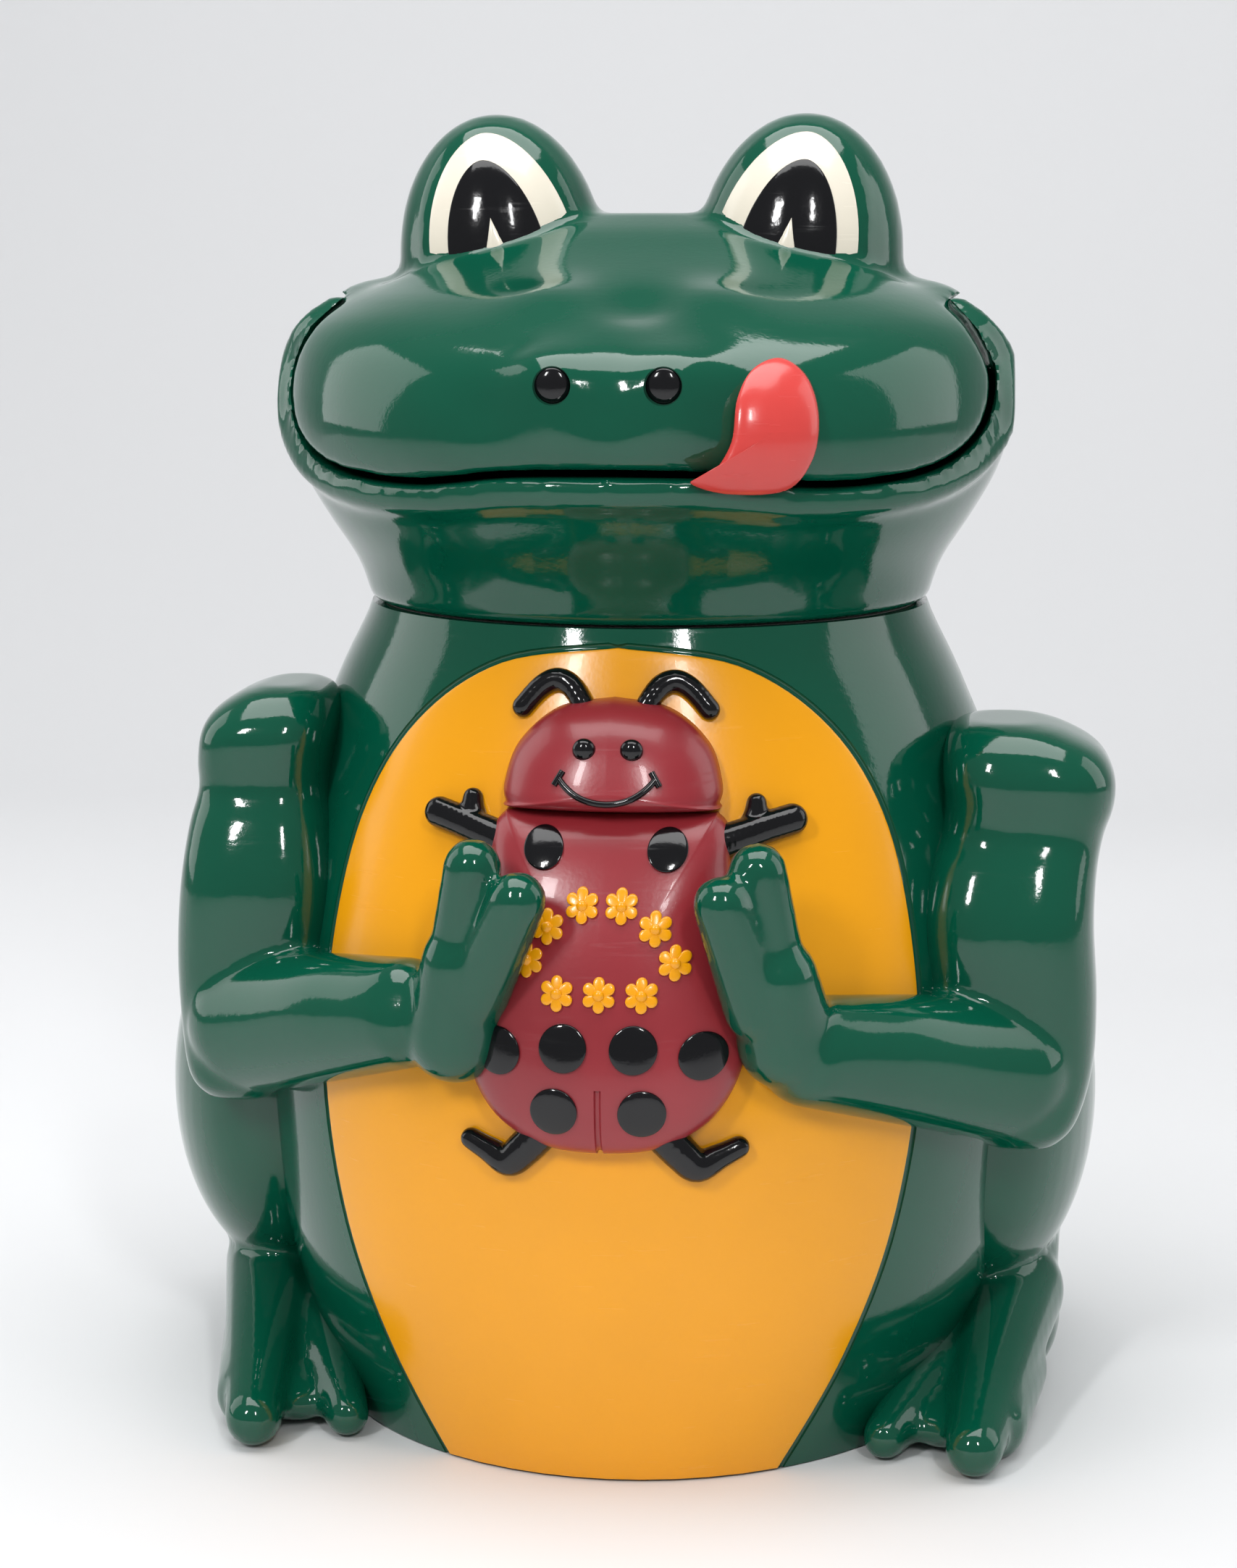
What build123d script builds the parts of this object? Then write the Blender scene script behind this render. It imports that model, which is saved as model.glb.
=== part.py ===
from build123d import *
from math import asin, atan2, copysign, cos, degrees, radians, sin
import os

# A free-standing plastic cookie jar shaped as a sitting frog that hugs a ladybug. The frog's head
# is the lid. It lifts straight off, and carries a croaking unit that a light sensor sets off.
# Millimetres. +Z is up, the frog faces -Y, and the origin is the middle of the flat underside.

os.makedirs("parts", exist_ok=True)

# ---------------------------------------------------------------- driving dimensions
total_height = 300.0        # table to the top of the eyes
seam_height = 187.0         # where the lid meets the jar
neck_radius = 66.0          # round at the seam, so that lid and jar agree all round
wall = 2.6                  # moulded outer shells
seam_gap = 0.4              # dark line between lid and jar
fit_gap = 0.25              # between pieces that are assembled into each other

tub_radius = 60.0           # outside of the cookie tub at its mouth
tub_foot_radius = 55.0
tub_wall = 1.8
tub_floor = 9.0             # underside of the tub above the table
flange_top = seam_height
flange_thick = 2.2
ledge_thick = 3.0

lid_plate_thick = 2.6
spigot_radius = 57.0
spigot_wall = 2.2
spigot_depth = 13.0

# The jar's outside, as (height, half width, reach to the front, reach to the back).
jar_rings = [
    (0.3, 76, 86, 74),
    (12, 81, 90, 79),
    (45, 90, 95, 87),
    (80, 94, 95, 90),
    (115, 91, 89, 88),
    (145, 84, 80, 80),
    (170, 73, 71, 71),
    (seam_height, neck_radius, neck_radius, neck_radius),
]
jar_bottom = jar_rings[0][0]

# The head's outside, in the same terms.
head_bottom = seam_height + seam_gap
head_top = 277.0
head_rings = [
    (head_bottom, neck_radius, neck_radius, neck_radius),
    (197, 69, 71, 67),
    (208, 76, 80, 70),
    (219, 82, 87, 73),
    (231, 85, 89, 75),
    (243, 84, 84, 75),
    (251, 81, 74, 72),
    (257, 73, 62, 66),
    (262, 62, 49, 58),
    (268, 51, 34, 46),
    (273, 40, 22, 34),
    (head_top, 22, 10, 19),
]

# Right half of the mouth line, seen from the front as (x, height): one end of the smile is at the cheek.
mouth_half = [(0, 222), (22, 221.5), (45, 219), (66, 221), (77, 228), (80, 240), (75, 251), (69, 257)]
mouth_gap = 2.2             # open groove between the lips
cheek_back = 15.0           # behind this the shells meet on a level seam
level_seam = 241.0

# ---------------------------------------------------------------- shared shapes


def save(part, name):
    """Labels a finished piece and writes its STEP file."""
    part.label = name
    export_step(part, f"parts/{name}.step")


def oval(height, wide, front, back):
    """A level outline: two half ellipses that meet at the sides."""
    with BuildSketch(Plane.XY.offset(height)) as outline:
        with BuildLine():
            EllipticalCenterArc((0, 0), wide, front, 180, arc_size=180)
            EllipticalCenterArc((0, 0), wide, back, 0, arc_size=180)
        make_face()
    return outline.sketch


def jar_form(inset):
    """The jar's outside drawn in by inset, as a solid. A negative inset grows it."""
    with BuildPart() as form:
        loft(sections=[oval(z, a - inset, f - inset, b - inset) for z, a, f, b in jar_rings])
    return form.part


def head_form(inset):
    """The head's outside drawn in by inset. Its crown sinks with it, and its open foot stays."""
    share = 1 - inset / (head_top - head_bottom)
    rings = [(head_bottom + (z - head_bottom) * share, a, f, b) for z, a, f, b in head_rings]
    with BuildPart() as form:
        loft(sections=[oval(z, a - inset, f - inset, b - inset) for z, a, f, b in rings])
    return form.part


def above_mouth(shift):
    """All that lies above the mouth line, which is moved out by shift, over the whole depth of the head."""
    right = [(x + shift * x / 80, z - shift) for x, z in mouth_half[:-2]]
    right += [(x + shift, z) for x, z in mouth_half[-2:]]
    left = [(-x, z) for x, z in reversed(right[1:])]
    roof = total_height + 30
    with BuildPart() as block:
        with BuildSketch(Plane.XZ):
            with BuildLine():
                lip = Spline(left + right)
                Polyline(lip @ 1, (right[-1][0], roof), (left[0][0], roof), lip @ 0)
            make_face()
        extrude(amount=120, both=True)
    return block.part


def ball(centre, radii, turn=(0, 0, 0)):
    """An ellipsoid."""
    with BuildPart() as form:
        Sphere(1)
        scale(by=tuple(radii))
    return form.part.rotate(Axis.X, turn[0]).rotate(Axis.Y, turn[1]).rotate(Axis.Z, turn[2]).translate(centre)


def capsule(start, end, start_radius, end_radius):
    """A round limb that tapers between two balls, turned about its own axis."""
    axis = Vector(*end) - Vector(*start)
    length = axis.length
    lean = degrees(asin((start_radius - end_radius) / length))
    with BuildPart() as form:
        with BuildSketch(Plane.XZ):
            with BuildLine():
                heel = CenterArc((0, 0), start_radius, -90, 90 + lean)
                toe = CenterArc((0, length), end_radius, lean, 90 - lean)
                Line(heel @ 1, toe @ 0)
                Line(toe @ 1, heel @ 0)
            make_face()
        revolve(axis=Axis.Z)
    return Plane(origin=start, z_dir=axis).location * form.part


jar_outside = jar_form(0)
jar_inside = jar_form(wall)
head_outside = head_form(0)
head_inside = head_form(wall)


# ---------------------------------------------------------------- jar: outer shells
belly_half = [(0, 183), (26, 179), (46, 165), (58, 143), (64.5, 112), (65, 84),
              (59.5, 52), (49, 24), (34, -2)]
belly_proud = 0.9           # the yellow plate stands this far out of the green
belly_deep = 1.5            # and its pocket is cut this deep
belly_clearance = 0.4

boss_spots = [(x, y) for x in (-52, 52) for y in (-42, 42)]
boss_radius = 5.0
pilot_radius = 1.2
boss_height = 22.0
base_thick = 3.2
base_lip = 4.0


def belly_block(clearance):
    """The belly plate's outline, driven from in front of the frog to its middle."""
    right = [(x * (1 + clearance / 34), z + clearance) for x, z in belly_half]
    left = [(-x, z) for x, z in reversed(right[1:])]
    with BuildPart() as block:
        with BuildSketch(Plane.XZ):
            with BuildLine():
                rim = Spline(left + right)
                Line(rim @ 1, rim @ 0)
            make_face()
        extrude(amount=130)
    return block.part


belly_floor = jar_form(belly_deep)
belly_face = jar_form(-belly_proud)

with BuildPart() as belly_plate:
    add(belly_block(0))
    add(belly_face, mode=Mode.INTERSECT)
    add(jar_form(belly_deep - 0.1), mode=Mode.SUBTRACT)

# A boss for each base screw, tied to the wall by a rib. Both are trimmed to the jar's outside.
with BuildPart() as bosses:
    with BuildSketch(Plane.XY.offset(base_thick + jar_bottom)):
        with Locations(boss_spots):
            Circle(boss_radius)
        with Locations([(x * 1.2, y) for x, y in boss_spots]):
            Rectangle(24, 2.4)
    extrude(amount=boss_height)
    add(jar_form(0.5), mode=Mode.INTERSECT)

# The ledge inside the neck that the tub hangs from.
with BuildPart() as ledge:
    with BuildSketch(Plane.XY.offset(flange_top - flange_thick - ledge_thick)):
        Circle(neck_radius - 0.5)
        Circle(tub_radius + 0.6, mode=Mode.SUBTRACT)
    extrude(amount=ledge_thick)
    add(jar_form(0.5), mode=Mode.INTERSECT)

for name, side in (("jar_shell_front", Keep.TOP), ("jar_shell_back", Keep.BOTTOM)):
    with BuildPart() as shell:
        add(jar_outside)
        add(jar_inside, mode=Mode.SUBTRACT)
        add(bosses.part)
        add(ledge.part)
        with Locations([(x, y, base_thick + jar_bottom + boss_height / 2) for x, y in boss_spots]):
            Cylinder(pilot_radius, boss_height + 2, mode=Mode.SUBTRACT)
        split(bisect_by=Plane.XZ, keep=side)
        if name == "jar_shell_front":
            add(belly_block(belly_clearance) - belly_floor, mode=Mode.SUBTRACT)
    save(shell.part, name)
save(belly_plate.part, "belly_plate")

# ---------------------------------------------------------------- jar: base and tub
screw_head_radius = 3.2
screw_head_deep = 1.9
screw_radius = 1.15
screw_clearance = 1.7

with BuildPart() as base_plate:
    z, wide, front, back = jar_rings[0]
    inset = wall + fit_gap
    loft(sections=[oval(0, wide - inset, front - inset, back - inset),
                   oval(base_thick, wide - inset + 0.6, front - inset + 0.6, back - inset + 0.6)])
    with BuildSketch(Plane.XY.offset(base_thick)):
        add(oval(0, wide - 24, front - 24, back - 24))
        add(oval(0, wide - 26, front - 26, back - 26), mode=Mode.SUBTRACT)
    extrude(amount=base_lip)
    with Locations([(x, y, 0) for x, y in boss_spots]):
        Cylinder(screw_clearance, 3 * base_thick, mode=Mode.SUBTRACT)
        Cylinder(screw_head_radius + 0.3, 2 * screw_head_deep, mode=Mode.SUBTRACT)
save(base_plate.part, "base_plate")


def screw(head_radius, head_thick, shank_radius, length):
    """A self-tapping screw that stands on its head at the origin, with a cross recess."""
    with BuildPart() as made:
        Cylinder(head_radius, head_thick, align=(Align.CENTER, Align.CENTER, Align.MIN))
        fillet(made.edges().sort_by(Axis.Z)[0], head_thick * 0.35)
        with Locations((0, 0, head_thick)):
            Cylinder(shank_radius, length - shank_radius, align=(Align.CENTER, Align.CENTER, Align.MIN))
        with Locations((0, 0, head_thick + length - shank_radius)):
            Cone(shank_radius, 0.2, shank_radius, align=(Align.CENTER, Align.CENTER, Align.MIN))
        with BuildSketch(Plane.XY):
            Rectangle(head_radius, head_radius * 0.28)
            Rectangle(head_radius * 0.28, head_radius)
        extrude(amount=head_thick * 0.6, mode=Mode.SUBTRACT)
    return made.part


with BuildPart() as base_screws:
    with Locations([(x, y, 0.15) for x, y in boss_spots]):
        add(screw(screw_head_radius, screw_head_deep - 0.3, screw_radius, 14))
save(base_screws.part, "base_screws")

with BuildPart() as tub:
    with BuildSketch(Plane.XZ):
        with BuildLine():
            Polyline((0, tub_floor), (tub_foot_radius - 6, tub_floor), (tub_foot_radius, tub_floor + 6),
                     (tub_radius, flange_top - flange_thick),
                     (neck_radius - wall - fit_gap, flange_top - flange_thick),
                     (neck_radius - wall - fit_gap, flange_top), (tub_radius - tub_wall, flange_top),
                     (tub_foot_radius - tub_wall, tub_floor + 7), (tub_foot_radius - 7, tub_floor + tub_wall),
                     (0, tub_floor + tub_wall), close=True)
        make_face()
    revolve(axis=Axis.Z)
save(tub.part, "cookie_tub")

# ---------------------------------------------------------------- jar: arms and hind legs
# The left limb is listed as (centre, radius) with x to the frog's own right, then mirrored.
limb_wall = 2.4
arm_lift = {"left": 3.0, "right": -2.5}      # the sculpted arms don't hang quite level
# Each stretch of the arm as (start, end, radius at the start, radius at the end).
upper_arm = ((86, -37, 149), (89, -49, 95), 18.0, 16.5)
forearm = ((87, -51, 94.5), (42, -91, 105), 16.0, 10.0)
palm = ((36, -94, 106), (34, -97, 119), 9.4, 8.0)
outer_finger = ((34.5, -96, 118), (30, -101, 141), 6.3, 4.8)
inner_finger = ((32, -98, 115), (20, -108, 134), 6.1, 4.8)

thigh = ((83, 2, 69), (30, 50, 51))
shin = ((88, 2, 34), (90, -16, 21), 14.0, 11.0)
foot_outline = [(56, -30), (54, -66), (60, -74), (66, -70), (71, -66), (77, -74), (84, -80), (91, -72),
                (94, -50), (97, -20), (95, 2), (80, 10), (62, 4)]
foot_ankle_height = 30.0
foot_toe_height = 9.0


def arm_stretch(stretch, lift, grow=0.0):
    """One stretch of an arm, raised by lift, with its radii grown."""
    start, end, start_radius, end_radius = stretch
    raised = [(x, y, z + lift) for x, y, z in (start, end)]
    return capsule(raised[0], raised[1], start_radius + grow, end_radius + grow)


def thigh_form(grow):
    centre, radii = thigh
    return ball(centre, [r + grow for r in radii])


with BuildPart() as foot:
    with BuildSketch(Plane.XY.offset(jar_bottom)):
        with BuildLine():
            Spline(foot_outline, periodic=True)
        make_face()
    extrude(amount=foot_ankle_height + 4)
    with BuildSketch(Plane.YZ.offset(40)):
        with BuildLine():
            Polyline((-90, 0), (-90, foot_toe_height - 2), (-78, foot_toe_height), (-12, foot_ankle_height),
                     (14, foot_ankle_height), (14, 0), close=True)
        make_face()
    extrude(amount=70, mode=Mode.INTERSECT)

arm_bed = jar_form(-fit_gap - belly_proud * 1.2)
leg_bed = jar_form(-fit_gap)
for side in ("left", "right"):
    lift = arm_lift[side]
    with BuildPart() as arm:
        for stretch in (upper_arm, forearm, palm, outer_finger, inner_finger):
            add(arm_stretch(stretch, lift))
        for stretch in (upper_arm, forearm):
            add(arm_stretch(stretch, lift, -limb_wall), mode=Mode.SUBTRACT)
        add(arm_bed, mode=Mode.SUBTRACT)
    with BuildPart() as leg:
        add(thigh_form(0))
        add(capsule(*shin))
        add(foot.part)
        with BuildSketch(Plane.XY.offset(jar_bottom)):
            Rectangle(400, 400)
        extrude(amount=-80, mode=Mode.SUBTRACT)
        add(thigh_form(-limb_wall), mode=Mode.SUBTRACT)
        add(leg_bed, mode=Mode.SUBTRACT)
        for stretch in (upper_arm, forearm):
            add(arm_stretch(stretch, lift, fit_gap), mode=Mode.SUBTRACT)
    arm_part = arm.part.solids().sort_by(SortBy.VOLUME)[-1]
    leg_part = leg.part.solids().sort_by(SortBy.VOLUME)[-1]
    if side == "left":
        arm_part, leg_part = arm_part.mirror(Plane.YZ), leg_part.mirror(Plane.YZ)
    save(arm_part, f"{side}_arm")
    save(leg_part, f"{side}_hind_leg")

# ---------------------------------------------------------------- jar: the ladybug on the belly
# Its flat outlines are drawn from the front, as (x, height), and cut from domes that lean with the belly.
bug_body_half = [(0, 149.4), (20, 149.4), (25, 145.5), (26, 137), (27, 124), (30, 108), (29, 96), (22, 85),
                 (12, 80), (0, 79)]
bug_head_half = [(22.5, 150), (23.5, 155), (21, 163.5), (12, 170.5), (0, 173)]
bug_body_dome = ((0, -90.5, 112), (34, 13, 43), (-14, 0, 0))
bug_head_dome = ((0, -79, 149.5), (26, 13, 26), (-25, 0, 0))
upper_spots = [(x, 143) for x in (-13.3, 13.3)]
lower_spots = [(-22, 101), (-7.5, 102.7), (7.5, 102.7), (22, 101), (-9.4, 89), (9.4, 89)]
bug_eyes = [(x, 163.5) for x in (-5.1, 5.1)]
bug_eye_radius = 2.4
smile_radius = 13.0
smile_centre = 165.5
smile_width = 1.1
antenna = [(6.5, 171), (12.5, 176.5), (20, 171)]
bug_arm = [(23, 142.5), (31, 145), (40, 146.5)]
bug_thumb = [(32, 145.5), (30.5, 151)]
bug_leg = [(13, 82), (20.5, 74), (29, 78)]
daisy_spots = [(-15.8, 120.5), (-11.5, 127.5), (-4.2, 132), (4.2, 132), (11.5, 127.5), (15.8, 120.5),
               (-9, 114), (0, 114), (9, 114)]
petal_radius = 1.55
petal_reach = 2.3
trim_proud = 0.7            # how far the spots and the face stand out of the red
limb_proud = 3.2            # the black limbs, out of the yellow


def forward(sketch, reach=130):
    """A front-view outline driven forwards from the frog's middle."""
    return extrude(sketch, amount=reach, dir=(0, -1, 0))


def stroke(points, width, both_sides=True):
    """A bent line of even width with round ends, mirrored to the other side if asked."""
    with BuildSketch(Plane.XZ) as line:
        for (x1, z1), (x2, z2) in zip(points, points[1:]):
            start, end = Vector(x1, z1), Vector(x2, z2)
            with Locations((start + end) / 2):
                SlotCenterToCenter((end - start).length, width, rotation=degrees(atan2(z2 - z1, x2 - x1)))
        if both_sides:
            mirror(about=Plane.YZ)
    return line.sketch


def dots(centres, radius):
    with BuildSketch(Plane.XZ) as spots:
        with Locations(centres):
            Circle(radius)
    return spots.sketch


def on_dome(dome, sketch, proud):
    """An outline laid on a dome as a plate that stands proud of it."""
    centre, radii, turn = dome
    with BuildPart() as plate:
        add(forward(sketch))
        add(ball(centre, [r + proud for r in radii], turn), mode=Mode.INTERSECT)
        add(ball(centre, [r + 0.03 for r in radii], turn), mode=Mode.SUBTRACT)
        add(belly_skin, mode=Mode.SUBTRACT)
    return plate.part


belly_skin = jar_form(-belly_proud - 0.05)
limb_skin = jar_form(-belly_proud - limb_proud)

with BuildPart() as bug_body:
    with BuildSketch(Plane.XZ):
        with BuildLine():
            right_side = Spline(bug_body_half[1:])
            Line(bug_body_half[0], right_side @ 0)
            Line(right_side @ 1, bug_body_half[0])
        make_face()
        mirror(about=Plane.YZ)
    extrude(amount=130)
    add(ball(*bug_body_dome), mode=Mode.INTERSECT)
    with BuildSketch(Plane.XZ.offset(92)):
        with Locations((0, 86)):
            Rectangle(1.0, 17)
    extrude(amount=30, mode=Mode.SUBTRACT)
    add(belly_skin, mode=Mode.SUBTRACT)
    for stretch in (palm, outer_finger, inner_finger):
        add(arm_stretch(stretch, arm_lift["right"], fit_gap), mode=Mode.SUBTRACT)
        add(arm_stretch(stretch, arm_lift["left"], fit_gap).mirror(Plane.YZ), mode=Mode.SUBTRACT)
save(bug_body.part.solids().sort_by(SortBy.VOLUME)[-1], "ladybug_body")

with BuildPart() as bug_head:
    with BuildSketch(Plane.XZ):
        with BuildLine():
            crown = Spline(bug_head_half)
            Polyline(crown @ 1, (0, bug_head_half[0][1]), crown @ 0)
        make_face()
        mirror(about=Plane.YZ)
    extrude(amount=130)
    add(ball(*bug_head_dome), mode=Mode.INTERSECT)
    add(belly_skin, mode=Mode.SUBTRACT)
save(bug_head.part.solids().sort_by(SortBy.VOLUME)[-1], "ladybug_head")

with BuildPart() as bug_spots:
    add(on_dome(bug_body_dome, dots(upper_spots, 4.2), trim_proud))
    add(on_dome(bug_body_dome, dots(lower_spots, 5.0), trim_proud))
save(Compound(bug_spots.part.solids().sort_by(SortBy.VOLUME)[-8:]), "ladybug_spots")

with BuildPart() as daisies:
    with BuildSketch(Plane.XZ) as daisy_outlines:
        for x, z in daisy_spots:
            with Locations((x, z)):
                Circle(petal_reach * 0.8)
                with PolarLocations(petal_reach, 5, 90):
                    Circle(petal_radius)
    add(on_dome(bug_body_dome, daisy_outlines.sketch, 1.2), mode=Mode.REPLACE)
save(daisies.part, "ladybug_daisies")

smile = [(smile_radius * sin(radians(a)), smile_centre - smile_radius * cos(radians(a)))
         for a in range(-55, 56, 11)]
save(on_dome(bug_head_dome, stroke(smile, smile_width, both_sides=False), trim_proud), "ladybug_smile")
save(on_dome(bug_head_dome, dots(bug_eyes, bug_eye_radius), 1.3), "ladybug_eyes")

for name, strokes in (
    ("ladybug_antennae", [(antenna, 3.2)]),
    ("ladybug_hands", [(bug_arm, 4.0), (bug_thumb, 3.0)]),
    ("ladybug_feet", [(bug_leg, 6.0)]),
):
    with BuildPart() as limbs:
        for points, width in strokes:
            add(forward(stroke(points, width)))
        add(limb_skin, mode=Mode.INTERSECT)
        add(belly_skin, mode=Mode.SUBTRACT)
        add(bug_body.part, mode=Mode.SUBTRACT)
        add(bug_head.part, mode=Mode.SUBTRACT)
    save(limbs.part, name)

# ---------------------------------------------------------------- lid: head shells
eye_centre = (36.5, -7, 267)
eye_radii = (22, 21, 33)
eye_tilt = 12.0             # the whites face a little upwards
eye_lean = 13.0             # and their tops lean apart
white_size = (16, 26)
pupil_size = (10.5, 20.5)
glint_outline = [(1.6, 8.5), (0.3, -4.5), (-5.9, -4.5)]
inlay_deep = 1.2
face_centre = (33.8, -7, 267)   # the whites sit a little inwards of the bulges' middles

lid_boss_reach = 51.0       # the lid's screws stand on the four axes, inside the spigot
lid_boss_radius = 4.5
lid_boss_height = 16.0
lid_boss_spots = [(lid_boss_reach, 0), (0, lid_boss_reach), (-lid_boss_reach, 0), (0, -lid_boss_reach)]
plate_bottom = seam_height + 0.6
plate_top = plate_bottom + lid_plate_thick

nostril_spots = [(x, 240.5) for x in (-11.7, 11.7)]
nostril_radius = 3.9
tongue_outline = [(17.5, 220.5), (22, 222.5), (26, 229), (27, 238), (30, 244), (35.5, 246), (41, 242),
                  (43.6, 234), (42.5, 225), (37, 218.5), (25, 218)]
tongue_thick = 4.2


def mouth_region(shift):
    """All that lies above the mouth at the front and above the level seam behind the cheeks."""
    with BuildPart() as region:
        add(above_mouth(shift))
        with BuildSketch(Plane.XY.offset(total_height + 60)):
            with Locations((0, cheek_back + 100)):
                Rectangle(300, 200)
        extrude(amount=-160, mode=Mode.SUBTRACT)
        with BuildSketch(Plane.XY.offset(level_seam - shift)):
            with Locations((0, cheek_back + 100)):
                Rectangle(300, 200)
        extrude(amount=100)
    return region.part


def eye_face():
    """The plane across the right-hand eye, facing forwards and a little up."""
    tilt = radians(eye_tilt)
    return Plane(origin=face_centre, x_dir=(1, 0, 0), z_dir=(0, -cos(tilt), sin(tilt)))


def eye_prism(size, grow=0.0):
    """An upright oval driven forwards out of the right-hand eye."""
    with BuildPart() as prism:
        with BuildSketch(eye_face().rotated((0, 0, -eye_lean))):
            Ellipse(size[0] + grow, size[1] + grow)
        extrude(amount=45)
    return prism.part


def eye_ball(grow):
    return ball(eye_centre, [r + grow for r in eye_radii])


def eye_inlay(size, low, high, grow=0.0):
    """A plate let into the eye's front, between two depths, clear of the head that it rises from."""
    with BuildPart() as inlay:
        add(eye_prism(size, grow))
        add(eye_ball(high), mode=Mode.INTERSECT)
        add(eye_ball(low), mode=Mode.SUBTRACT)
        add(head_collar, mode=Mode.SUBTRACT)
    return inlay.part.solids().sort_by(SortBy.VOLUME)[-1]


head_collar = head_form(-0.15)
above_lips = mouth_region(-mouth_gap / 2)
above_groove = mouth_region(mouth_gap / 2)

with BuildPart() as head_solid:
    add(head_outside)
    add(eye_ball(0))
    add(eye_ball(0).mirror(Plane.YZ))
with BuildPart() as head_hollow:
    add(head_inside)
    add(eye_ball(-wall))
    add(eye_ball(-wall).mirror(Plane.YZ))

white_pocket = eye_inlay(white_size, -inlay_deep - 0.1, 2, 0.1)
with BuildPart() as head_upper_shell:
    add(head_solid.part)
    add(head_hollow.part, mode=Mode.SUBTRACT)
    add(above_lips, mode=Mode.INTERSECT)
    add(white_pocket, mode=Mode.SUBTRACT)
    add(white_pocket.mirror(Plane.YZ), mode=Mode.SUBTRACT)
    with BuildSketch(Plane.XZ):
        with Locations(nostril_spots):
            Circle(nostril_radius + 0.1)
    extrude(amount=120, mode=Mode.SUBTRACT)
save(head_upper_shell.part.solids().sort_by(SortBy.VOLUME)[-1], "head_upper_shell")

# The jaw carries a flange that closes the groove from behind, and the bosses for the lid's screws.
flange_inside = head_form(wall + 2.3)
with BuildPart() as jaw_flange:
    add(head_form(wall + 0.3))
    add(mouth_region(5), mode=Mode.INTERSECT)
    add(mouth_region(-6), mode=Mode.SUBTRACT)
    add(flange_inside, mode=Mode.SUBTRACT)
with BuildPart() as flange_root:
    add(head_form(wall - 0.5))
    add(mouth_region(5), mode=Mode.INTERSECT)
    add(mouth_region(2), mode=Mode.SUBTRACT)
    add(flange_inside, mode=Mode.SUBTRACT)
with BuildPart() as lid_bosses:
    with BuildSketch(Plane.XY.offset(plate_top + 0.05)):
        with Locations(lid_boss_spots):
            Circle(lid_boss_radius)
        with Locations([(x * 1.2, y * 1.2) for x, y in lid_boss_spots[::2]]):
            Rectangle(22, 2.4)
        with Locations([(x * 1.2, y * 1.2) for x, y in lid_boss_spots[1::2]]):
            Rectangle(2.4, 22)
    extrude(amount=lid_boss_height)
    add(head_form(0.5), mode=Mode.INTERSECT)
with BuildPart() as jaw_shell:
    add(head_outside)
    add(head_inside, mode=Mode.SUBTRACT)
    add(above_groove, mode=Mode.SUBTRACT)
    add(jaw_flange.part)
    add(flange_root.part)
    add(lid_bosses.part)
    with Locations([(x, y, plate_top + lid_boss_height / 2) for x, y in lid_boss_spots]):
        Cylinder(pilot_radius, lid_boss_height + 2, mode=Mode.SUBTRACT)
save(jaw_shell.part.solids().sort_by(SortBy.VOLUME)[-1], "jaw_shell")

# ---------------------------------------------------------------- lid: face pieces
white = eye_inlay(white_size, -inlay_deep, 0.5)
pupil_pocket = eye_inlay(pupil_size, -0.45, 2, 0.05)
pupil = eye_inlay(pupil_size, -0.4, 0.6)
with BuildPart() as glint_prism:
    with BuildSketch(eye_face()):
        Polygon(*glint_outline, align=None)
    extrude(amount=45)
with BuildPart() as glint:
    add(glint_prism.part)
    add(eye_ball(0.7), mode=Mode.INTERSECT)
    add(eye_ball(0.1), mode=Mode.SUBTRACT)
    add(head_collar, mode=Mode.SUBTRACT)
with BuildPart() as pupil_plate:
    add(pupil)
    add((glint_prism.part & eye_ball(2)) - eye_ball(0.05), mode=Mode.SUBTRACT)
with BuildPart() as white_plate:
    add(white)
    add(pupil_pocket, mode=Mode.SUBTRACT)
for name, piece in (("eye_white", white_plate), ("pupil", pupil_plate), ("glint", glint)):
    solid = piece.part.solids().sort_by(SortBy.VOLUME)[-1]
    save(solid.mirror(Plane.YZ), f"left_{name}")
    save(solid, f"right_{name}")

for side, (x, z) in zip(("left", "right"), nostril_spots):
    with BuildPart() as plug:
        with BuildSketch(Plane.XZ.offset(79)):
            with Locations((x, z)):
                Circle(nostril_radius)
        extrude(amount=5.6)
        fillet(plug.edges().sort_by(Axis.Y)[0], 1.4)
    save(plug.part, f"{side}_nostril_plug")

with BuildPart() as tongue:
    with BuildSketch(Plane.XZ):
        with BuildLine():
            Spline(tongue_outline, periodic=True)
        make_face()
    extrude(amount=120)
    add(head_form(-tongue_thick), mode=Mode.INTERSECT)
    add(head_form(-0.25), mode=Mode.SUBTRACT)
    with BuildPart(mode=Mode.PRIVATE) as root:
        with BuildSketch(Plane.XZ):
            with Locations((31, 222)):
                Rectangle(11, 20)
        extrude(amount=120)
        add(head_form(-1.0), mode=Mode.INTERSECT)
        add(head_form(wall - 0.1), mode=Mode.SUBTRACT)
        add(mouth_region(0.8), mode=Mode.INTERSECT)
        add(mouth_region(-0.8), mode=Mode.SUBTRACT)
    add(root.part)
save(tongue.part.solids().sort_by(SortBy.VOLUME)[-1], "tongue")

# ---------------------------------------------------------------- lid: base plate
# A disc that closes the head from below. Its spigot centres the lid in the jar's mouth, a gasket
# seals it, and the sound unit is built on its upper face.
plate_radius = neck_radius - wall - 0.3
gasket_inner, gasket_outer, gasket_deep = 58.8, 61.8, 0.8

speaker_spot = (-22, -20)
speaker_radius = 20.0
speaker_ring_reach = 24.5
speaker_lugs = [30, 150, 270]
grille_hole = 1.3

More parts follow.
